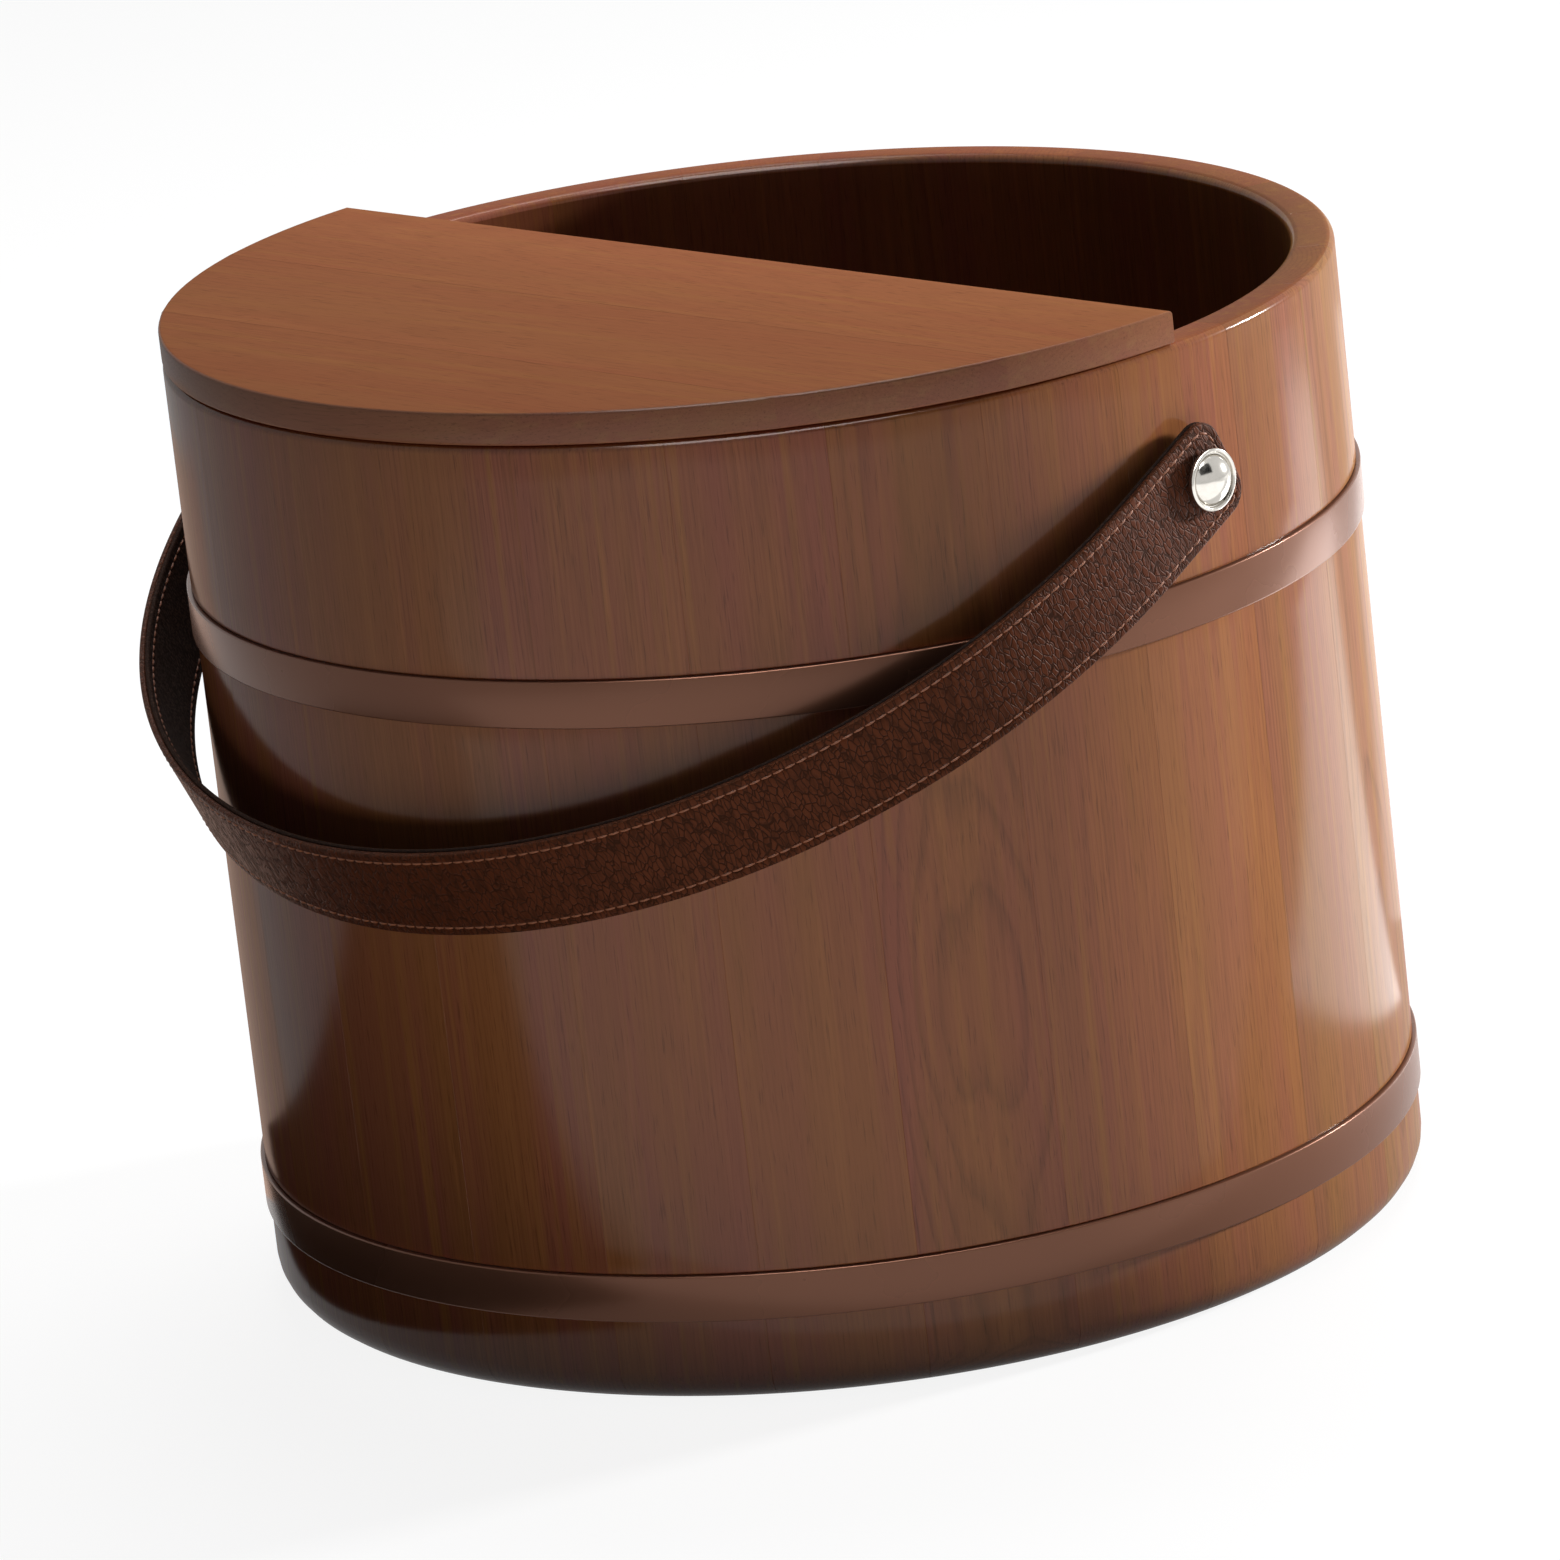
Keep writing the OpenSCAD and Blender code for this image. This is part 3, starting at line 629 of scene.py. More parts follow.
# The wall: staves with a rounded foot and rim, the croze inside and the two hoop grooves outside
wall = {
    "footRound": 12 * mm,
    "footInnerRound": 1 * mm,
    "rimRound": 3 * mm,
    "crozeDepth": 5 * mm,
    "crozeSlack": 0.2 * mm,
    "grooveDepth": 0.7 * mm,
    "grooveLine": 0.5 * mm,
    "grooveEdge": 0.2 * mm,
    "seam": 0.07 * mm,          # eased edge where two staves meet
    "steps": 10,
    "boltHole": 3.2 * mm,
    "sealDepth": 5.5 * mm,      # painted shade: the darker inside wood reaches from the inner face into the croze
    "rimTurn": 0.9,             # faces that lean less than this count as rim
    "tintSpread": 0.055,
    "paleSide": math.radians(45),   # painted light: staves on the side that the key lamp lights are tinted yellower, standing in for its light and highlight
    "paleShift": (-0.16, 0.08, 0.0),
    "paleFade": 4,
    # staves that show their rings as long ovals: bulge of the log there, height of its middle
    "flatSawn": {3: (3 * mm, 90 * mm), 9: (4 * mm, 180 * mm),
                 14: (3 * mm, 120 * mm), 23: (4 * mm, 134 * mm)},
    "swellLength": 70 * mm,
    "faceStep": 10 * mm,        # longest step between points along a stave
    "plainFigure": (0.35, 0.75),
    "pithSide": (70, 120),      # mm from the pith to the stave's middle, and the same for flat-sawn staves
    "pithDepth": (-30, 30),
    "flatPithSide": (-6, 6),
    "flatPithDepth": (-60, -50),
    "slope": 0.03,              # most that the grain leans out of the stave
    "leanShare": 0.3,           # and the share of it round the wall
    "holeReach": 40 * mm,
    "holeSegments": 48,
    "sharp": 40,
    "seed": 11,
}


def staveProfile(inset):
    w = wall
    outer, inner, top = wallRadius - inset, innerRadius + inset, wallTop - inset
    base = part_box(plankNames[0])
    corners = [(inner, inset, w["footInnerRound"]), (outer, inset, w["footRound"])]
    for hoop in ("lower_hoop", "upper_hoop"):
        low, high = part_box(hoop)[0].z - inset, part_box(hoop)[1].z + w["grooveLine"] + inset
        deep = outer - w["grooveDepth"]
        corners += [(outer, low, w["grooveEdge"]), (deep, low, 0),
                    (deep, high, 0), (outer, high, w["grooveEdge"])]
    corners += [(outer, top, w["rimRound"]), (inner, top, w["rimRound"])]
    low, high = base[0].z - inset, base[1].z + w["crozeSlack"] + inset
    croze = inner + w["crozeDepth"]
    corners += [(inner, high, w["grooveEdge"]), (croze, high, 0),
                (croze, low, 0), (inner, low, w["grooveEdge"])]
    outline = roundedOutline(corners)
    profile = []
    for i, point in enumerate(outline):
        step = outline[(i + 1) % len(outline)] - point
        count = 1 + int(step.length / w["faceStep"])
        profile += [point + step * k / count for k in range(count)]
    return profile


def makeStaves():
    w = wall
    draw = random.Random(w["seed"])
    full, eased = staveProfile(0), staveProfile(w["seam"])
    edge = w["seam"] / wallRadius
    for i, name in enumerate(staveNames):
        middle = pitch * i
        turns = [(-pitch / 2, eased), (-pitch / 2 + edge, full)]
        turns += [(pitch * (k / w["steps"] - 0.5), full) for k in range(1, w["steps"])]
        turns += [(pitch / 2 - edge, full), (pitch / 2, eased)]
        rings = []
        for turn, profile in turns:
            c, s = math.cos(middle + turn), math.sin(middle + turn)
            rings.append([Vector((p.x * c, p.x * s, p.y)) for p in profile])
        points, faces = skin(rings)
        piece = makePiece("wall_" + name, points, faces, wallWood, w["sharp"])
        if abs(math.sin(middle)) < tiny:    # the two staves that carry the studs
            hole = rodProfile(w["boltHole"], w["holeReach"])
            place = outwards(middle, studZ, wallRadius)
            drill(piece, lathe("hole", hole, place, wallWood, w["holeSegments"]), sharp=w["sharp"])
        piece.data.materials.append(shadedInsideWood)
        piece.data.materials.append(rimWood)
        for face in piece.data.polygons:
            radius = math.hypot(face.center.x, face.center.y)
            # painted shade: inner faces take the darker inside wood
            if radius < innerRadius + w["sealDepth"] and face.center.z < wallTop - w["rimRound"]:
                face.material_index = 1
            elif face.normal.z > w["rimTurn"]:
                face.material_index = 2
        across = Vector((-math.sin(middle), math.cos(middle), 0))
        side = draw.choice((-1, 1)) * draw.uniform(*w["pithSide"]) * mm
        depth = draw.uniform(*w["pithDepth"]) * mm
        slope, figure = draw.uniform(-w["slope"], w["slope"]), draw.uniform(*w["plainFigure"])
        swell, swellMiddle = w["flatSawn"].get(i + 1, (0.0, 0.0))
        if swell:
            side, depth = draw.uniform(*w["flatPithSide"]) * mm, draw.uniform(*w["flatPithDepth"]) * mm
            slope, figure = 0.0, 1.0
        pith = (side, -(wallRadius + depth))
        shade = 1 + draw.uniform(-1, 1) * w["tintSpread"]
        # painted light: staves facing the key lamp get a yellower tint, for the light and highlight that fall
        # there
        litShare = max(0.0, math.cos(middle - w["paleSide"])) ** w["paleFade"]
        tint = [shade * (1 + litShare * shift) for shift in w["paleShift"]]
        tilt = (slope * w["leanShare"], slope)
        cutFromLog(piece, Vector((0, 0, 1)), across, pith, tilt, i + 1, tint, figure, swell, swellMiddle)
        settle(piece, "bucket", "wall_wood", name)


makeStaves()
print("staves made:", len(staveNames))


# Hoops: flat bands let into the wall, closed at the back by a riveted lap
hoops = {
    "band": 2.2 * mm,
    "edgeRound": 0.6 * mm,
    "innerEdge": 0.1 * mm,
    "edgeSteps": 5,
    "lap": 46 * mm,
    "lapEnd": 0.0004,           # radians over which the lap's end face stands up
    "lapSteps": 12,
    "ramp": 8 * mm,
    "rampShape": ((0.35, 0.62), (0.7, 0.14), (1.0, 0.0)),   # share of its length, share of the lift
    "steps": 256,
    "rivetSpacing": 24 * mm,
    "rivetSegments": 40,
    "rivetHead": 4.0 * mm,
    "rivetDome": 1.6 * mm,
    "rivetShank": 2.0 * mm,
    "rivetSeat": 0.05 * mm,
    "rivetLip": 0.25 * mm,      # height of the head's edge, which rounds in below it
    "rivetLipRound": 0.2 * mm,
    "rivetLipRise": 0.12 * mm,
}


def makeHoop(name):
    low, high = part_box(name)
    h = hoops
    outer = high.x
    inner = outer - h["band"]
    lapHalf = h["lap"] / outer / 2
    start, stop = math.pi / 2 - lapHalf, math.pi / 2 + lapHalf      # the lap's ends, at the back
    ramp = h["ramp"] / outer
    span = 2 * math.pi - 2 * lapHalf - ramp
    stops = [(start, 0.0), (start + h["lapEnd"], 1.0), (stop, 1.0)]     # angle, share of the lift
    stops += [(stop + ramp * run, lift) for run, lift in h["rampShape"]]
    stops += [(start + 2 * lapHalf * k / h["lapSteps"], 1.0) for k in range(1, h["lapSteps"])]
    stops += [(stop + ramp + span * k / h["steps"], 0.0) for k in range(1, h["steps"])]
    rings = []
    for angle, lift in sorted(stops):
        face = outer + h["band"] * lift
        corners = [(inner, low.z, h["innerEdge"]), (face, low.z, h["edgeRound"]),
                   (face, high.z, h["edgeRound"]), (inner, high.z, h["innerEdge"])]
        rings.append([Vector((p.x * math.cos(angle), p.x * math.sin(angle), p.y))
                      for p in roundedOutline(corners, h["edgeSteps"])])
    points, faces = skin(rings, closed=True)
    settle(makePiece("band_" + name, points, faces, hoopEnamel), "bucket", "hoop_paint", name)


# What repeats: Geometry Nodes set one copy at each point, turned by the point's own axes
def newTree(name, sockets):
    tree = bpy.data.node_groups.new(name, "GeometryNodeTree")
    tree.interface.new_socket("Geometry", in_out="INPUT", socket_type="NodeSocketGeometry")
    for socket, kind in sockets.items():
        tree.interface.new_socket(socket, in_out="INPUT", socket_type="NodeSocket" + kind)
    tree.interface.new_socket("Geometry", in_out="OUTPUT", socket_type="NodeSocketGeometry")
    return tree, tree.nodes.new("NodeGroupInput").outputs


def endTree(tree, points, shape, turn, finish):
    copies = addNode(tree, "GeometryNodeInstanceOnPoints",
                     {"Points": points, "Instance": shape, "Rotation": turn})
    real = addNode(tree, "GeometryNodeRealizeInstances", {"Geometry": copies})
    made = addNode(tree, "GeometryNodeSetMaterial", {"Geometry": real, "Material": finish})
    addNode(tree, "NodeGroupOutput", {"Geometry": made})
    return tree


def growPiece(name, points, edges, axes, tree, inputs, sharp=softTurn):
    mesh = bpy.data.meshes.new(name)
    mesh.from_pydata(points, edges, [])
    for word, vectors in axes.items():
        layer = mesh.attributes.new(word, "FLOAT_VECTOR", "POINT")
        layer.data.foreach_set("vector", [x for vector in vectors for x in vector])
    piece = bpy.data.objects.new(name, mesh)
    scene.collection.objects.link(piece)
    modifier = piece.modifiers.new("repeat", "NODES")
    modifier.node_group = tree
    for item in tree.interface.items_tree:  # modifier inputs go by the sockets' identifiers
        if item.item_type == "SOCKET" and item.in_out == "INPUT" and item.name in inputs:
            modifier[item.identifier] = inputs[item.name]
    bpy.context.view_layer.update()
    bake(piece, sharp)
    return piece


def fastenerTree():
    tree, given = newTree("fasteners", {"Fastener": "Object", "Finish": "Material"})
    shape = addNode(tree, "GeometryNodeObjectInfo", {"Object": given["Fastener"]}).outputs["Geometry"]
    out, side = (addNode(tree, "GeometryNodeInputNamedAttribute", {"Name": word}, data_type="FLOAT_VECTOR")
                 for word in ("out", "side"))
    turn = addNode(tree, "FunctionNodeAxesToRotation", {"Primary Axis": out, "Secondary Axis": side},
                   primary_axis="Z", secondary_axis="X")
    return endTree(tree, given["Geometry"], shape, turn, given["Finish"])


fasteners = fastenerTree()


def placeFasteners(name, fastener, places, finish):  # places are 4x4 frames, Z out
    axes = {word: [place.col[i][:3] for place in places] for word, i in (("out", 2), ("side", 0))}
    points = [place.translation for place in places]
    piece = growPiece(name, points, [], axes, fasteners, {"Fastener": fastener, "Finish": finish})
    bpy.data.objects.remove(fastener)
    return piece


def domeProfile(radius, rise, start, steps=10):  # from the edge of a spherical cap to its top
    ball = (radius * radius + rise * rise) / (2 * rise)
    reach = math.asin(min(1, radius / ball))
    turns = [reach * (1 - k / steps) for k in range(steps + 1)]
    return [(ball * math.sin(turn), start + rise - ball + ball * math.cos(turn)) for turn in turns]


def makeRivets():
    h = hoops
    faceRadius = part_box("upper_hoop")[1].x + h["band"] + h["rivetSeat"]
    head = domeProfile(h["rivetHead"], h["rivetDome"] - h["rivetLip"], h["rivetLip"])
    profile = [(0, -2 * h["band"]), (h["rivetShank"], -2 * h["band"]), (h["rivetShank"], 0),
               (h["rivetHead"] - h["rivetLipRound"], 0), (h["rivetHead"], h["rivetLipRise"])] + head
    rivet = lathe("rivet", profile, Matrix.Identity(4), hoopEnamel, h["rivetSegments"])
    places = []
    for hoop in ("lower_hoop", "upper_hoop"):
        middle = (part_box(hoop)[0].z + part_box(hoop)[1].z) / 2
        for way in (-1, 1):
            angle = math.pi / 2 + way * h["rivetSpacing"] / 2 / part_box(hoop)[1].x
            places.append(outwards(angle, middle, faceRadius))
    settle(placeFasteners("lap_rivets", rivet, places, hoopEnamel), "bucket", "hoop_paint", "hoop_rivets")


for hoop in ("upper_hoop", "lower_hoop"):
    makeHoop(hoop)
makeRivets()
print("hoops and rivets made")


# Boards: the base planks in the croze, the three boards of the half lid and its battens
boards = {
    "lidEdge": 1.1 * mm,
    "lidJoint": 0.08 * mm,      # eased edge between two boards
    "edgeTurn": 0.9,            # faces that lean more than this count as edge
    "baseEdge": 0.3 * mm,
    "battenEdge": 1.5 * mm,
    "battenCorner": 4 * mm,
    "arcStep": 2.0,             # degrees
    "easeSteps": 4,
    "sharp": 40,
    "pithSide": 20,             # mm from a board's middle, and the pith's depth below the board
    "pithDepth": (45, 75),
    "lean": 0.02,
    "slope": (0.02, 0.05),
    "tintSpread": 0.02,
    "battenPithSide": (60, 90),
    "battenPithDepth": (10, 30),
    "battenTilt": (0.02, 0.01),
    "boardLog": 40,             # numbers of the logs, past those of the staves
    "battenLog": 60,
    "seed": 5,
}


def slab(name, outline, low, high, ease, material):
    # outline is counter-clockwise; ease gives each outline point the rounding of the edge that starts there
    steps, count = boards["easeSteps"], len(outline)

    def inset(amounts):
        moved = []
        for i, point in enumerate(outline):
            before = (point - outline[i - 1]).normalized()
            after = (outline[(i + 1) % count] - point).normalized()
            n1, n2 = Vector((-before.y, before.x)), Vector((-after.y, after.x))
            a, b = amounts[i - 1], amounts[i]
            det = n1.x * n2.y - n1.y * n2.x
            if abs(det) < straight:
                shift = n1 * (a + b) / 2
            else:
                shift = Vector(((a * n2.y - b * n1.y) / det, (b * n1.x - a * n2.x) / det))
            moved.append(point + shift)
        return moved

    loops = []
    turns = [math.pi / 2 * k / steps for k in range(steps + 1)]
    for level, way, order in ((low, 1, turns), (high, -1, turns[::-1])):
        for turn in order:
            line = inset([e * (1 - math.sin(turn)) for e in ease])
            heights = [level + way * e * (1 - math.cos(turn)) for e in ease]
            loops.append([Vector((p.x, p.y, (heights[i] + heights[i - 1]) / 2)) for i, p in enumerate(line)])
    points, faces = skin(loops)
    return makePiece(name, points, faces, material, boards["sharp"])


def sliceOutline(radius, back, front, arcEase, straightEase):
    # a slice of a disc between two lines of Y, counter-clockwise, with the rounding of each edge
    def arc(start, stop):
        count = max(2, math.ceil(abs(math.degrees(stop - start)) / boards["arcStep"]))
        turns = [start + (stop - start) * k / count for k in range(count + 1)]
        return [Vector((radius * math.cos(turn), radius * math.sin(turn))) for turn in turns]

    low, high = math.asin(max(-1, back / radius)), math.asin(min(1, front / radius))
    outline, ease = [], []
    right, left = arc(low, high), arc(math.pi - high, math.pi - low)
    for side, edge in ((right, straightEase[1]), (left, straightEase[0])):
        outline += side
        ease += [arcEase] * (len(side) - 1) + [edge]
    if (right[-1] - left[0]).length < tiny:
        outline.pop(len(right))
        ease.pop(len(right) - 1)
    if (left[-1] - right[0]).length < tiny:
        outline.pop()
        ease.pop()
    return outline, ease


def makeBoards():
    b = boards
    draw = random.Random(b["seed"])
    rows = [("base_", plankNames, "bucket", "base_wood", baseWood, b["baseEdge"], b["baseEdge"]),
            ("top_", boardNames, "lid", "lid_wood", lidWood, b["lidEdge"], b["lidJoint"])]
    for word, names, body, slot, material, edge, joint in rows:
        radius = -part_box(names[0])[0].y
        for i, name in enumerate(names):
            low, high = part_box(name)
            outermost = edge if i == len(names) - 1 else joint
            outline, ease = sliceOutline(radius, low.y, high.y, edge, (joint, outermost))
            piece = slab(word + name, outline, low.z, high.z, ease, material)
            if body == "lid":
                piece.data.materials.append(lidEdgeWood)
                for face in piece.data.polygons:
                    face.material_index = 1 if abs(face.normal.z) < b["edgeTurn"] else 0
            pith = (draw.uniform(-1, 1) * b["pithSide"] * mm + (low.y + high.y) / 2,
                    low.z - draw.uniform(*b["pithDepth"]) * mm)
            tilt = (draw.uniform(-b["lean"], b["lean"]), draw.uniform(*b["slope"]))
            tint = (1 + draw.uniform(-1, 1) * b["tintSpread"],) * 3
            cutFromLog(piece, Vector((1, 0, 0)), Vector((0, 1, 0)), pith, tilt, b["boardLog"] + i, tint)
            settle(piece, body, slot, name)


lidScrew = {
    "head": 4.0 * mm,
    "shank": 2.0 * mm,
    "length": 20 * mm,
    "slack": 0.05 * mm,
    "crossLong": 2.3 * mm,
    "crossWide": 0.42 * mm,
    "crossDeep": 1.4 * mm,
    "crossTaper": 0.5,
    "crossOver": 0.5 * mm,      # the cutter's reach above the head
    "sinkDeep": 14 * mm,
    "edge": 8 * mm,             # room kept between a screw and the end of a batten
    "segments": 40,
}


def screwProfile(spare, length):  # from the head's flat face, Z out of the wood
    s = lidScrew
    cone = s["head"] - s["shank"]
    return [(0, spare), (s["head"] + spare, spare), (s["head"] + spare, 0), (s["shank"] + spare, -cone),
            (s["shank"] + spare, -length), (0, -length)]


def makeBattens():
    b, s = boards, lidScrew
    draw = random.Random(b["seed"] + 1)
    screwPlaces = []
    down = Matrix.Rotation(math.pi, 4, "X")
    for name in ("left_batten", "right_batten"):
        low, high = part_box(name)
        r = b["battenCorner"]
        corners = [(low.x, low.y, r), (high.x, low.y, r), (high.x, high.y, r), (low.x, high.y, r)]
        outline = roundedOutline(corners)
        ease = [b["battenEdge"]] * len(outline)
        piece = slab("lid_" + name, outline, low.z, high.z, ease, battenWood)
        cutters = []
        for board in boardNames:
            first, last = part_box(board)[0].y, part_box(board)[1].y
            y = (max(low.y + s["edge"], first) + min(high.y - s["edge"], last)) / 2
            place = Matrix.Translation(((low.x + high.x) / 2, y, low.z)) @ down
            screwPlaces.append(place)
            sink = screwProfile(s["slack"], s["sinkDeep"])
            cutters.append(lathe("countersink", sink, place, battenWood, s["segments"]))
        drill(piece, *cutters, sharp=b["sharp"])
        pith = (-draw.uniform(*b["battenPithSide"]) * mm + low.x,
                low.z - draw.uniform(*b["battenPithDepth"]) * mm)
        cutFromLog(piece, Vector((0, 1, 0)), Vector((1, 0, 0)), pith, b["battenTilt"],
                   b["battenLog"] + len(screwPlaces), (1, 1, 1))
        settle(piece, "lid", "batten_wood", name)
    profile = screwProfile(0, s["length"])[1:]
    screw = lathe("screw", profile, Matrix.Identity(4), plainSteel, s["segments"])
    cross = []
    for wide, tall in ((s["crossLong"], s["crossWide"]), (s["crossWide"], s["crossLong"])):
        rings = [[Vector((wide * x * shrink, tall * y * shrink, z)) for x, y in squareCorners]
                 for shrink, z in ((s["crossTaper"], -s["crossDeep"]), (1.0, s["crossOver"]))]
        cross.append(makePiece("cross", *skin(rings), plainSteel))
    drill(screw, *cross)
    screws = placeFasteners("batten_screws", screw, screwPlaces, plainSteel)
    settle(screws, "lid", "plain_steel", "lid_screws")


makeBoards()
makeBattens()
print("base, lid boards, battens and screws made")


# Studs: turned and chromed, with the spacer, washer and cap nut that hold each one in the wall
studs = {
    "neck": 4.5 * mm,
    "bolt": 3.0 * mm,
    "headEdge": 1.2 * mm,
    "rimWidth": 1.5 * mm,
    "rimGroove": 0.35 * mm,
    "domeRise": 4.2 * mm,
    "seat": 0.05 * mm,
    "underRound": 0.3 * mm,
    "washerEdge": 0.25 * mm,
    "washerSlack": 0.2 * mm,
    "segments": 96,
    "domeSteps": 20,
    "rimSteps": 8,
    "washerSteps": 4,
}


def ringProfile(hole, radius, low, high, ease):  # a closed loop
    corners = [(hole, low, ease), (radius, low, ease), (radius, high, ease), (hole, high, ease)]
    loop = roundedOutline(corners, studs["washerSteps"])
    return loop + loop[:1]


def makeStud(side, turn):
    s = studs
    place = outwards(turn, studZ, wallRadius)
    reach = {}
    for part in ("stud", "spacer", "washer", "cap_nut"):    # heights above the wall, from the frame
        low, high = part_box(side + part)
        ends = sorted((abs(low.x) - wallRadius, abs(high.x) - wallRadius))
        reach[part] = (ends[0], ends[1], (high.z - low.z) / 2)
    bottom, top, head = reach["stud"]
    under = top - s["domeRise"] - s["headEdge"]
    flat = top - s["domeRise"]
    inner = head - s["rimWidth"]
    groove = flat - s["rimGroove"]
    dome = domeProfile(inner - s["rimGroove"], s["domeRise"] + s["rimGroove"], groove, s["domeSteps"])
    bead = s["rimWidth"] / 2
    innerBead = bead - 10 * weld    # a hair smaller, so that the two arcs don't end in one point
    rim = roundedOutline([(s["neck"], under, 0), (head, under, s["underRound"]), (head, flat + bead, bead),
                          (inner, flat + bead, innerBead), (inner, groove, 0)], s["rimSteps"])
    profile = [(0, bottom), (s["bolt"], bottom), (s["bolt"], s["seat"]), (s["neck"], s["seat"])]
    profile += rim + dome
    piece = lathe("polished_" + side + "stud", profile, place, studChrome, s["segments"])
    settle(piece, "bucket", "stud_chrome", side + "stud")
    for word, part, hole in (("turned_", "spacer", s["neck"] + s["seat"]),
                             ("pressed_", "washer", s["bolt"] + s["washerSlack"])):
        low, high, radius = reach[part]
        loop = ringProfile(hole, radius, low, high, s["washerEdge"])
        piece = lathe(word + side + part, loop, place, plainSteel, s["segments"])
        settle(piece, "bucket", "plain_steel", side + part)


for side, turn in (("right_", 0.0), ("left_", math.pi)):
    makeStud(side, turn)
print("studs made")


# Strap: two leathers sewn round their edges, hung on the studs so that the lower edge rests near the wall
strap = {
    "width": 36 * mm,
    "leg": 30 * mm,
    "tail": 13 * mm,
    "corner": 9 * mm,
    "leather": 2.2 * mm,
    "lining": 1.8 * mm,
    "restGap": 0.4 * mm,
    "edgeRound": 0.8 * mm,
    "edgeShare": 0.45,          # most of a layer's thickness that the rounding of its edge takes
    "step": 2.4 * mm,
    "columns": 6,
    "cornerSteps": 8,
    "hole": 4.55 * mm,
    "holeReach": 20 * mm,
    "sharp": 50,
    "edgeSteps": 5,
    "plainIn": 3 * mm,          # rows of points on a face, in from its edge: one without a seam,
    "seamIn": 6.5 * mm,         # and those on either side of a seam
    "seamOut": 1.6 * mm,
    "seamInset": 3.5 * mm,
    "seamSink": 0.35 * mm,
    "seamWidth": 0.8 * mm,
    "seamSteps": 3,             # on each side of its middle
    "seamShape": 1.5,
    "stitchPitch": 4.2 * mm,
    "stitchLength": 3.3 * mm,
    "thread": 0.75 * mm,
    "stitchDip": 0.3,           # shares of the thread: its ends dip into the leather,
    "stitchRise": 0.9,          # and its middle stands up from it
    "stitchSides": 6,
    "stitchSharp": 60,
}
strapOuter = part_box("strap_leather")[1].x
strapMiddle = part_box("strap_lining")[1].x
strapInner = strapMiddle - strap["lining"]
strapReach = strapInner + strap["leg"]
strapDroop = math.acos((wallRadius + strap["restGap"]) / math.hypot(strapReach, strap["width"] / 2)) \
    - math.atan(strap["width"] / 2 / strapReach)
strapFrame = Matrix.Translation((0, 0, studZ)) @ Matrix.Rotation(math.pi + strapDroop, 4, "X")
strapBend = math.pi * strapMiddle
strapLength = 2 * strap["leg"] + strapBend      # from stud to stud
strapSide = strap["width"] / 2 - strap["corner"]    # the middles of the corners, on the flat hide
strapStart = strap["corner"] - strap["tail"]
strapStop = strapLength + strap["tail"] - strap["corner"]
strapRows = math.ceil((strapStop - strapStart) / strap["step"])


def onStrap(along, across, radius):  # a place on the flat hide, carried to the hanging strap
    leg = strap["leg"]
    if along < leg:
        flat = Vector((radius, along, across))
    elif along > leg + strapBend:
        flat = Vector((-radius, strapLength - along, across))
    else:
        angle = (along - leg) / strapMiddle
        flat = Vector((radius * math.cos(angle), leg + radius * math.sin(angle), across))
    return strapFrame @ flat


def strapOutline(inset):  # one loop round the strap, drawn in by inset
    s = strap
    r = s["corner"] - inset
    middles = [(x, y * strapSide) for x, y in
               ((strapStart, -1), (strapStop, -1), (strapStop, 1), (strapStart, 1))]
    loop = []
    for i, count in enumerate((strapRows, s["columns"]) * 2):
        (x1, y1), (x2, y2) = middles[i], middles[(i + 1) % 4]
        out = math.pi / 2 * (i - 1)
        c, d = r * math.cos(out), r * math.sin(out)
        loop += [(x1 + (x2 - x1) * k / count + c, y1 + (y2 - y1) * k / count + d) for k in range(count + 1)]
        turns = [out + math.pi / 2 * k / s["cornerSteps"] for k in range(1, s["cornerSteps"])]
        loop += [(x2 + r * math.cos(turn), y2 + r * math.sin(turn)) for turn in turns]
    return loop


def strapSection(low, high, seamOn):
    # (inset, radius) from one face round the edge to the other; the seam is on the outer face, 1, or on
    # the inner face, -1
    s = strap
    r = min(s["edgeRound"], (high - low) * s["edgeShare"])

    def face(level, sign):
        if seamOn != sign:
            return [(s["corner"], level), (s["plainIn"], level)]
        rows = [(s["corner"], level), (s["seamIn"], level)]
        for k in range(s["seamSteps"], -s["seamSteps"] - 1, -1):
            sink = s["seamSink"] * (1 - abs(k) / s["seamSteps"]) ** s["seamShape"]
            rows.append((s["seamInset"] + s["seamWidth"] * k / 2, level - sign * sink))
        return rows + [(s["seamOut"], level)]

    turns = [math.pi / 2 * k / s["edgeSteps"] for k in range(s["edgeSteps"] + 1)]
    edge = [(r - r * math.sin(turn), high - r + r * math.cos(turn)) for turn in turns]
    edge += [(r - r * math.cos(turn), low + r - r * math.sin(turn)) for turn in turns]
    return face(high, 1) + edge + face(low, -1)[::-1]


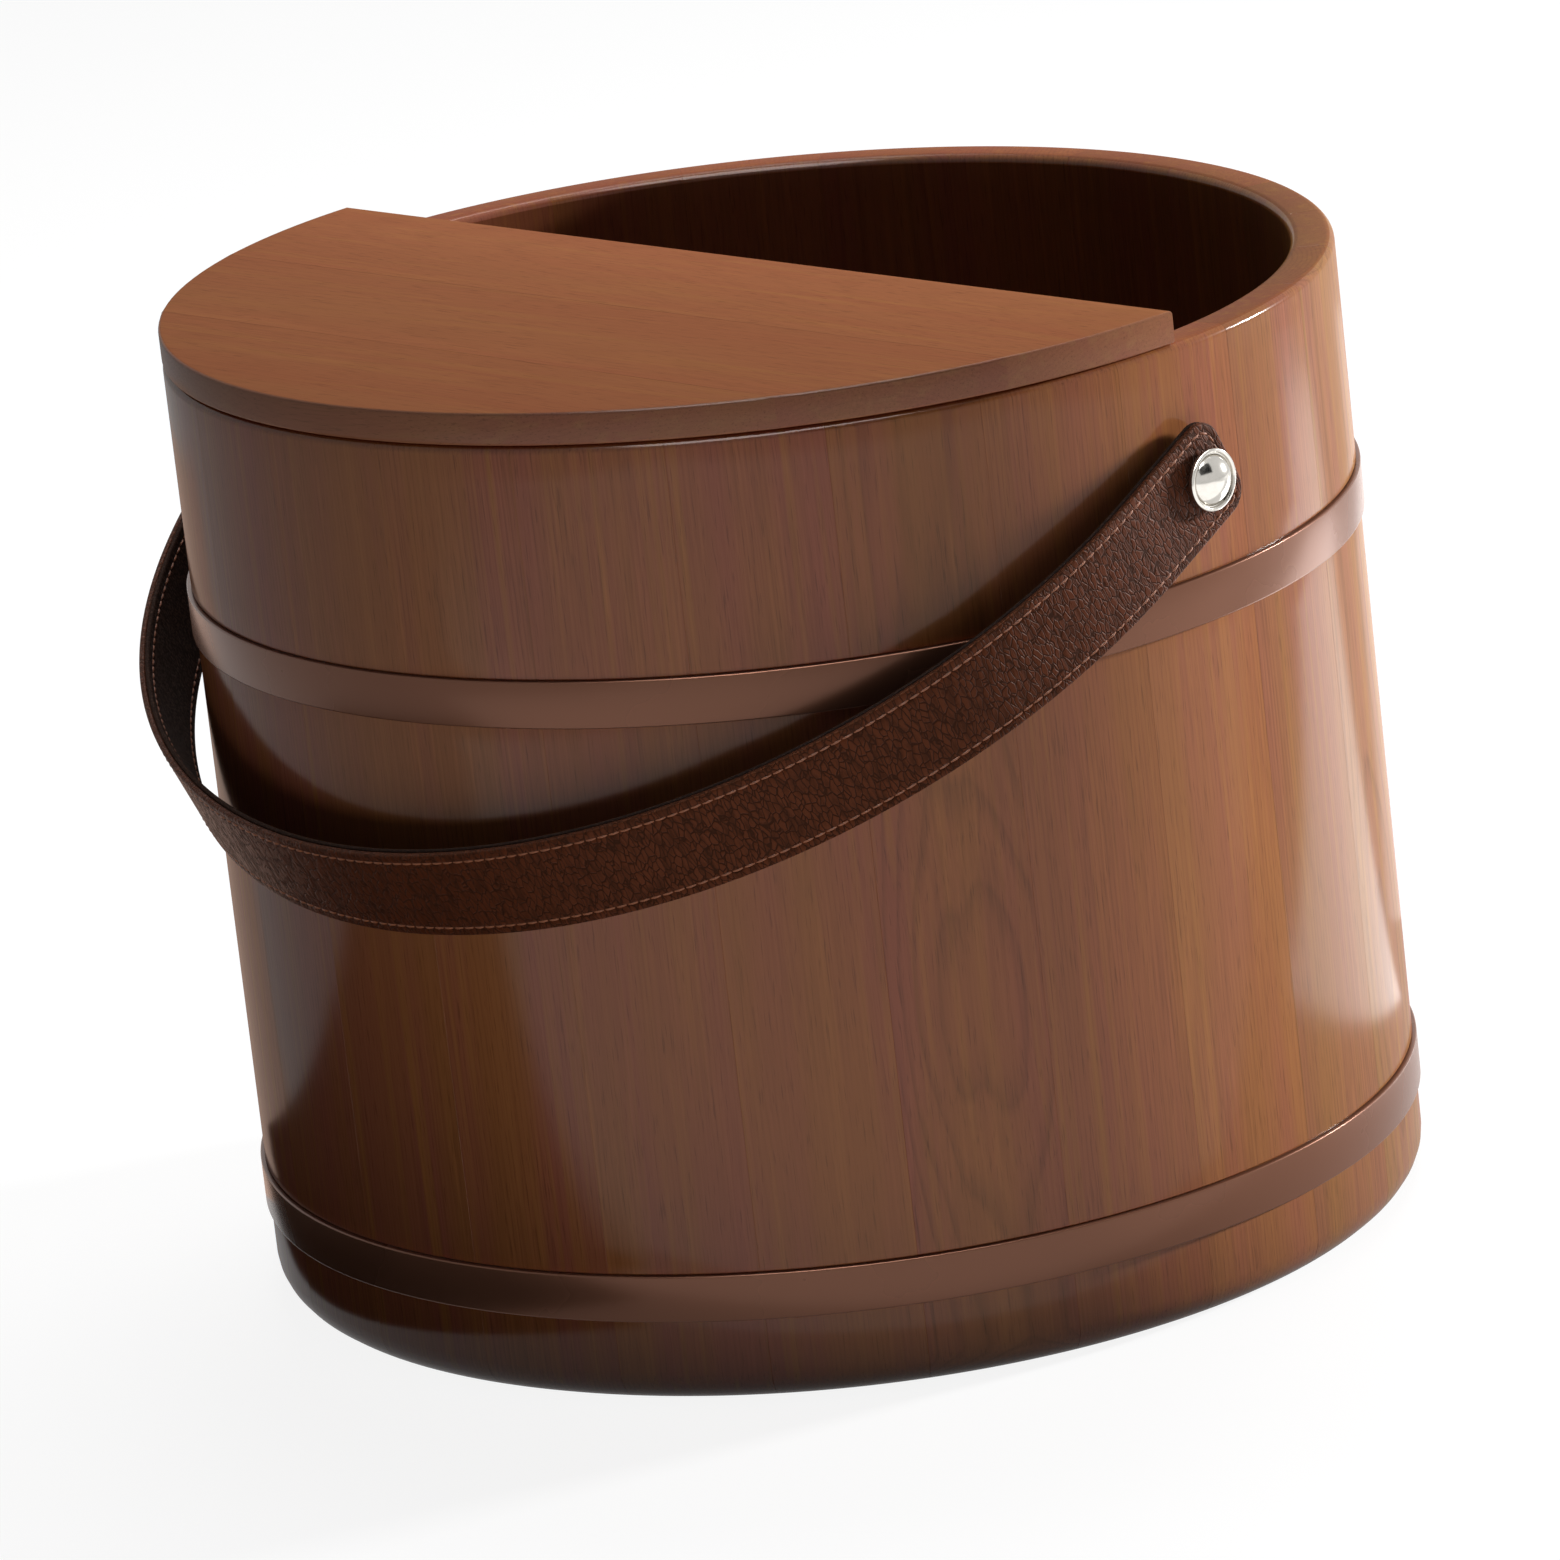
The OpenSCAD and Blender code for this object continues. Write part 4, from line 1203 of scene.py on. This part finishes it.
def makeStrapLayer(name, low, high, seamOn, material, node):  # node is the CAD node that this layer stands for
    s = strap
    section = strapSection(low, high, seamOn)
    loops, flats = [], []
    for inset, radius in section:
        outline = strapOutline(inset)
        loops.append([onStrap(u, v, radius) for u, v in outline])
        flats += [(u, v, radius) for u, v in outline]
    points, faces = skin(loops, caps=False)
    wide = s["columns"] + 1
    for radius in (high, low):      # the middle of each face
        first = len(points)
        for i in range(strapRows + 1):
            for j in range(wide):
                u = strapStart + (strapStop - strapStart) * i / strapRows
                v = strapSide * (2 * j / s["columns"] - 1)
                points.append(onStrap(u, v, radius))
                flats.append((u, v, radius))
        for i in range(strapRows):
            for j in range(s["columns"]):
                a = first + i * wide + j
                faces.append((a, a + 1, a + wide + 1, a + wide))
    piece = makePiece(name, points, faces, material, s["sharp"], flats)
    hole = rodProfile(s["hole"], s["holeReach"])
    cutters = [lathe("hole", hole, outwards(turn, studZ, strapMiddle), material) for turn in (0, math.pi)]
    drill(piece, *cutters, sharp=s["sharp"])
    settle(piece, "strap", node, node)


def stitchTree():  # a row of stitches along a closed line, each a short bowed thread
    tree, given = newTree("stitches", {"Pitch": "Float", "Stitch": "Float", "Thread": "Float",
                                       "Finish": "Material"})
    line = addNode(tree, "GeometryNodeMeshToCurve", {"Mesh": given["Geometry"]})
    spaced = addNode(tree, "GeometryNodeResampleCurve", {"Curve": line, "Length": given["Pitch"]},
                     mode="LENGTH")
    shares = (("Stitch", 0.5), ("Stitch", -0.5), ("Thread", -strap["stitchDip"]),
              ("Thread", strap["stitchRise"]), ("Thread", 0.5))
    half, less, dip, rise, thick = (
        addNode(tree, "ShaderNodeMath", {0: given[word], 1: share}, operation="MULTIPLY")
        for word, share in shares)
    bow = addNode(tree, "GeometryNodeCurveQuadraticBezier", {
        "Resolution": strap["stitchSides"],
        "Start": addNode(tree, "ShaderNodeCombineXYZ", {"X": less, "Z": dip}),
        "Middle": addNode(tree, "ShaderNodeCombineXYZ", {"Z": rise}),
        "End": addNode(tree, "ShaderNodeCombineXYZ", {"X": half, "Z": dip})})
    ring = addNode(tree, "GeometryNodeCurvePrimitiveCircle",
                   {"Resolution": strap["stitchSides"], "Radius": thick})
    stitch = addNode(tree, "GeometryNodeCurveToMesh",
                     {"Curve": bow, "Profile Curve": ring, "Fill Caps": True})
    out = addNode(tree, "GeometryNodeInputNamedAttribute", {"Name": "out"}, data_type="FLOAT_VECTOR")
    along = addNode(tree, "GeometryNodeInputTangent")
    turn = addNode(tree, "FunctionNodeAxesToRotation", {"Primary Axis": along, "Secondary Axis": out},
                   primary_axis="X", secondary_axis="Z")
    return endTree(tree, spaced, stitch, turn, given["Finish"])


stitches = stitchTree()


def sewSeam(name, radius, sign):
    s = strap
    outline = strapOutline(s["seamInset"])
    level = radius - sign * s["seamSink"]
    points = [onStrap(u, v, level) for u, v in outline]
    edges = [(i, (i + 1) % len(points)) for i in range(len(points))]
    ups = [(onStrap(u, v, level + mm) - point).normalized() * sign for (u, v), point in zip(outline, points)]
    inputs = {"Pitch": s["stitchPitch"], "Stitch": s["stitchLength"], "Thread": s["thread"],
              "Finish": sewingThread}
    piece = growPiece(name, points, edges, {"out": ups}, stitches, inputs, s["stitchSharp"])
    settle(piece, "strap", "strap_leather")


makeStrapLayer("sewn_strap_leather", strapOuter - strap["leather"], strapOuter, 1, strapHide, "strap_leather")
makeStrapLayer("sewn_strap_lining", strapInner, strapMiddle, -1, liningHide, "strap_lining")
sewSeam("outer_stitching", strapOuter, 1)
sewSeam("inner_stitching", strapInner, -1)
print("strap made, %.0f mm from stud to stud" % (strapLength / mm))

# CAD nodes that stay, with their own finish
for node, material in (("stave_pins", pinWood), ("base_pins", pinWood), ("right_cap_nut", studChrome),
                       ("left_cap_nut", studChrome)):
    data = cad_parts[node].data
    for i in range(len(data.materials)):
        data.materials[i] = material
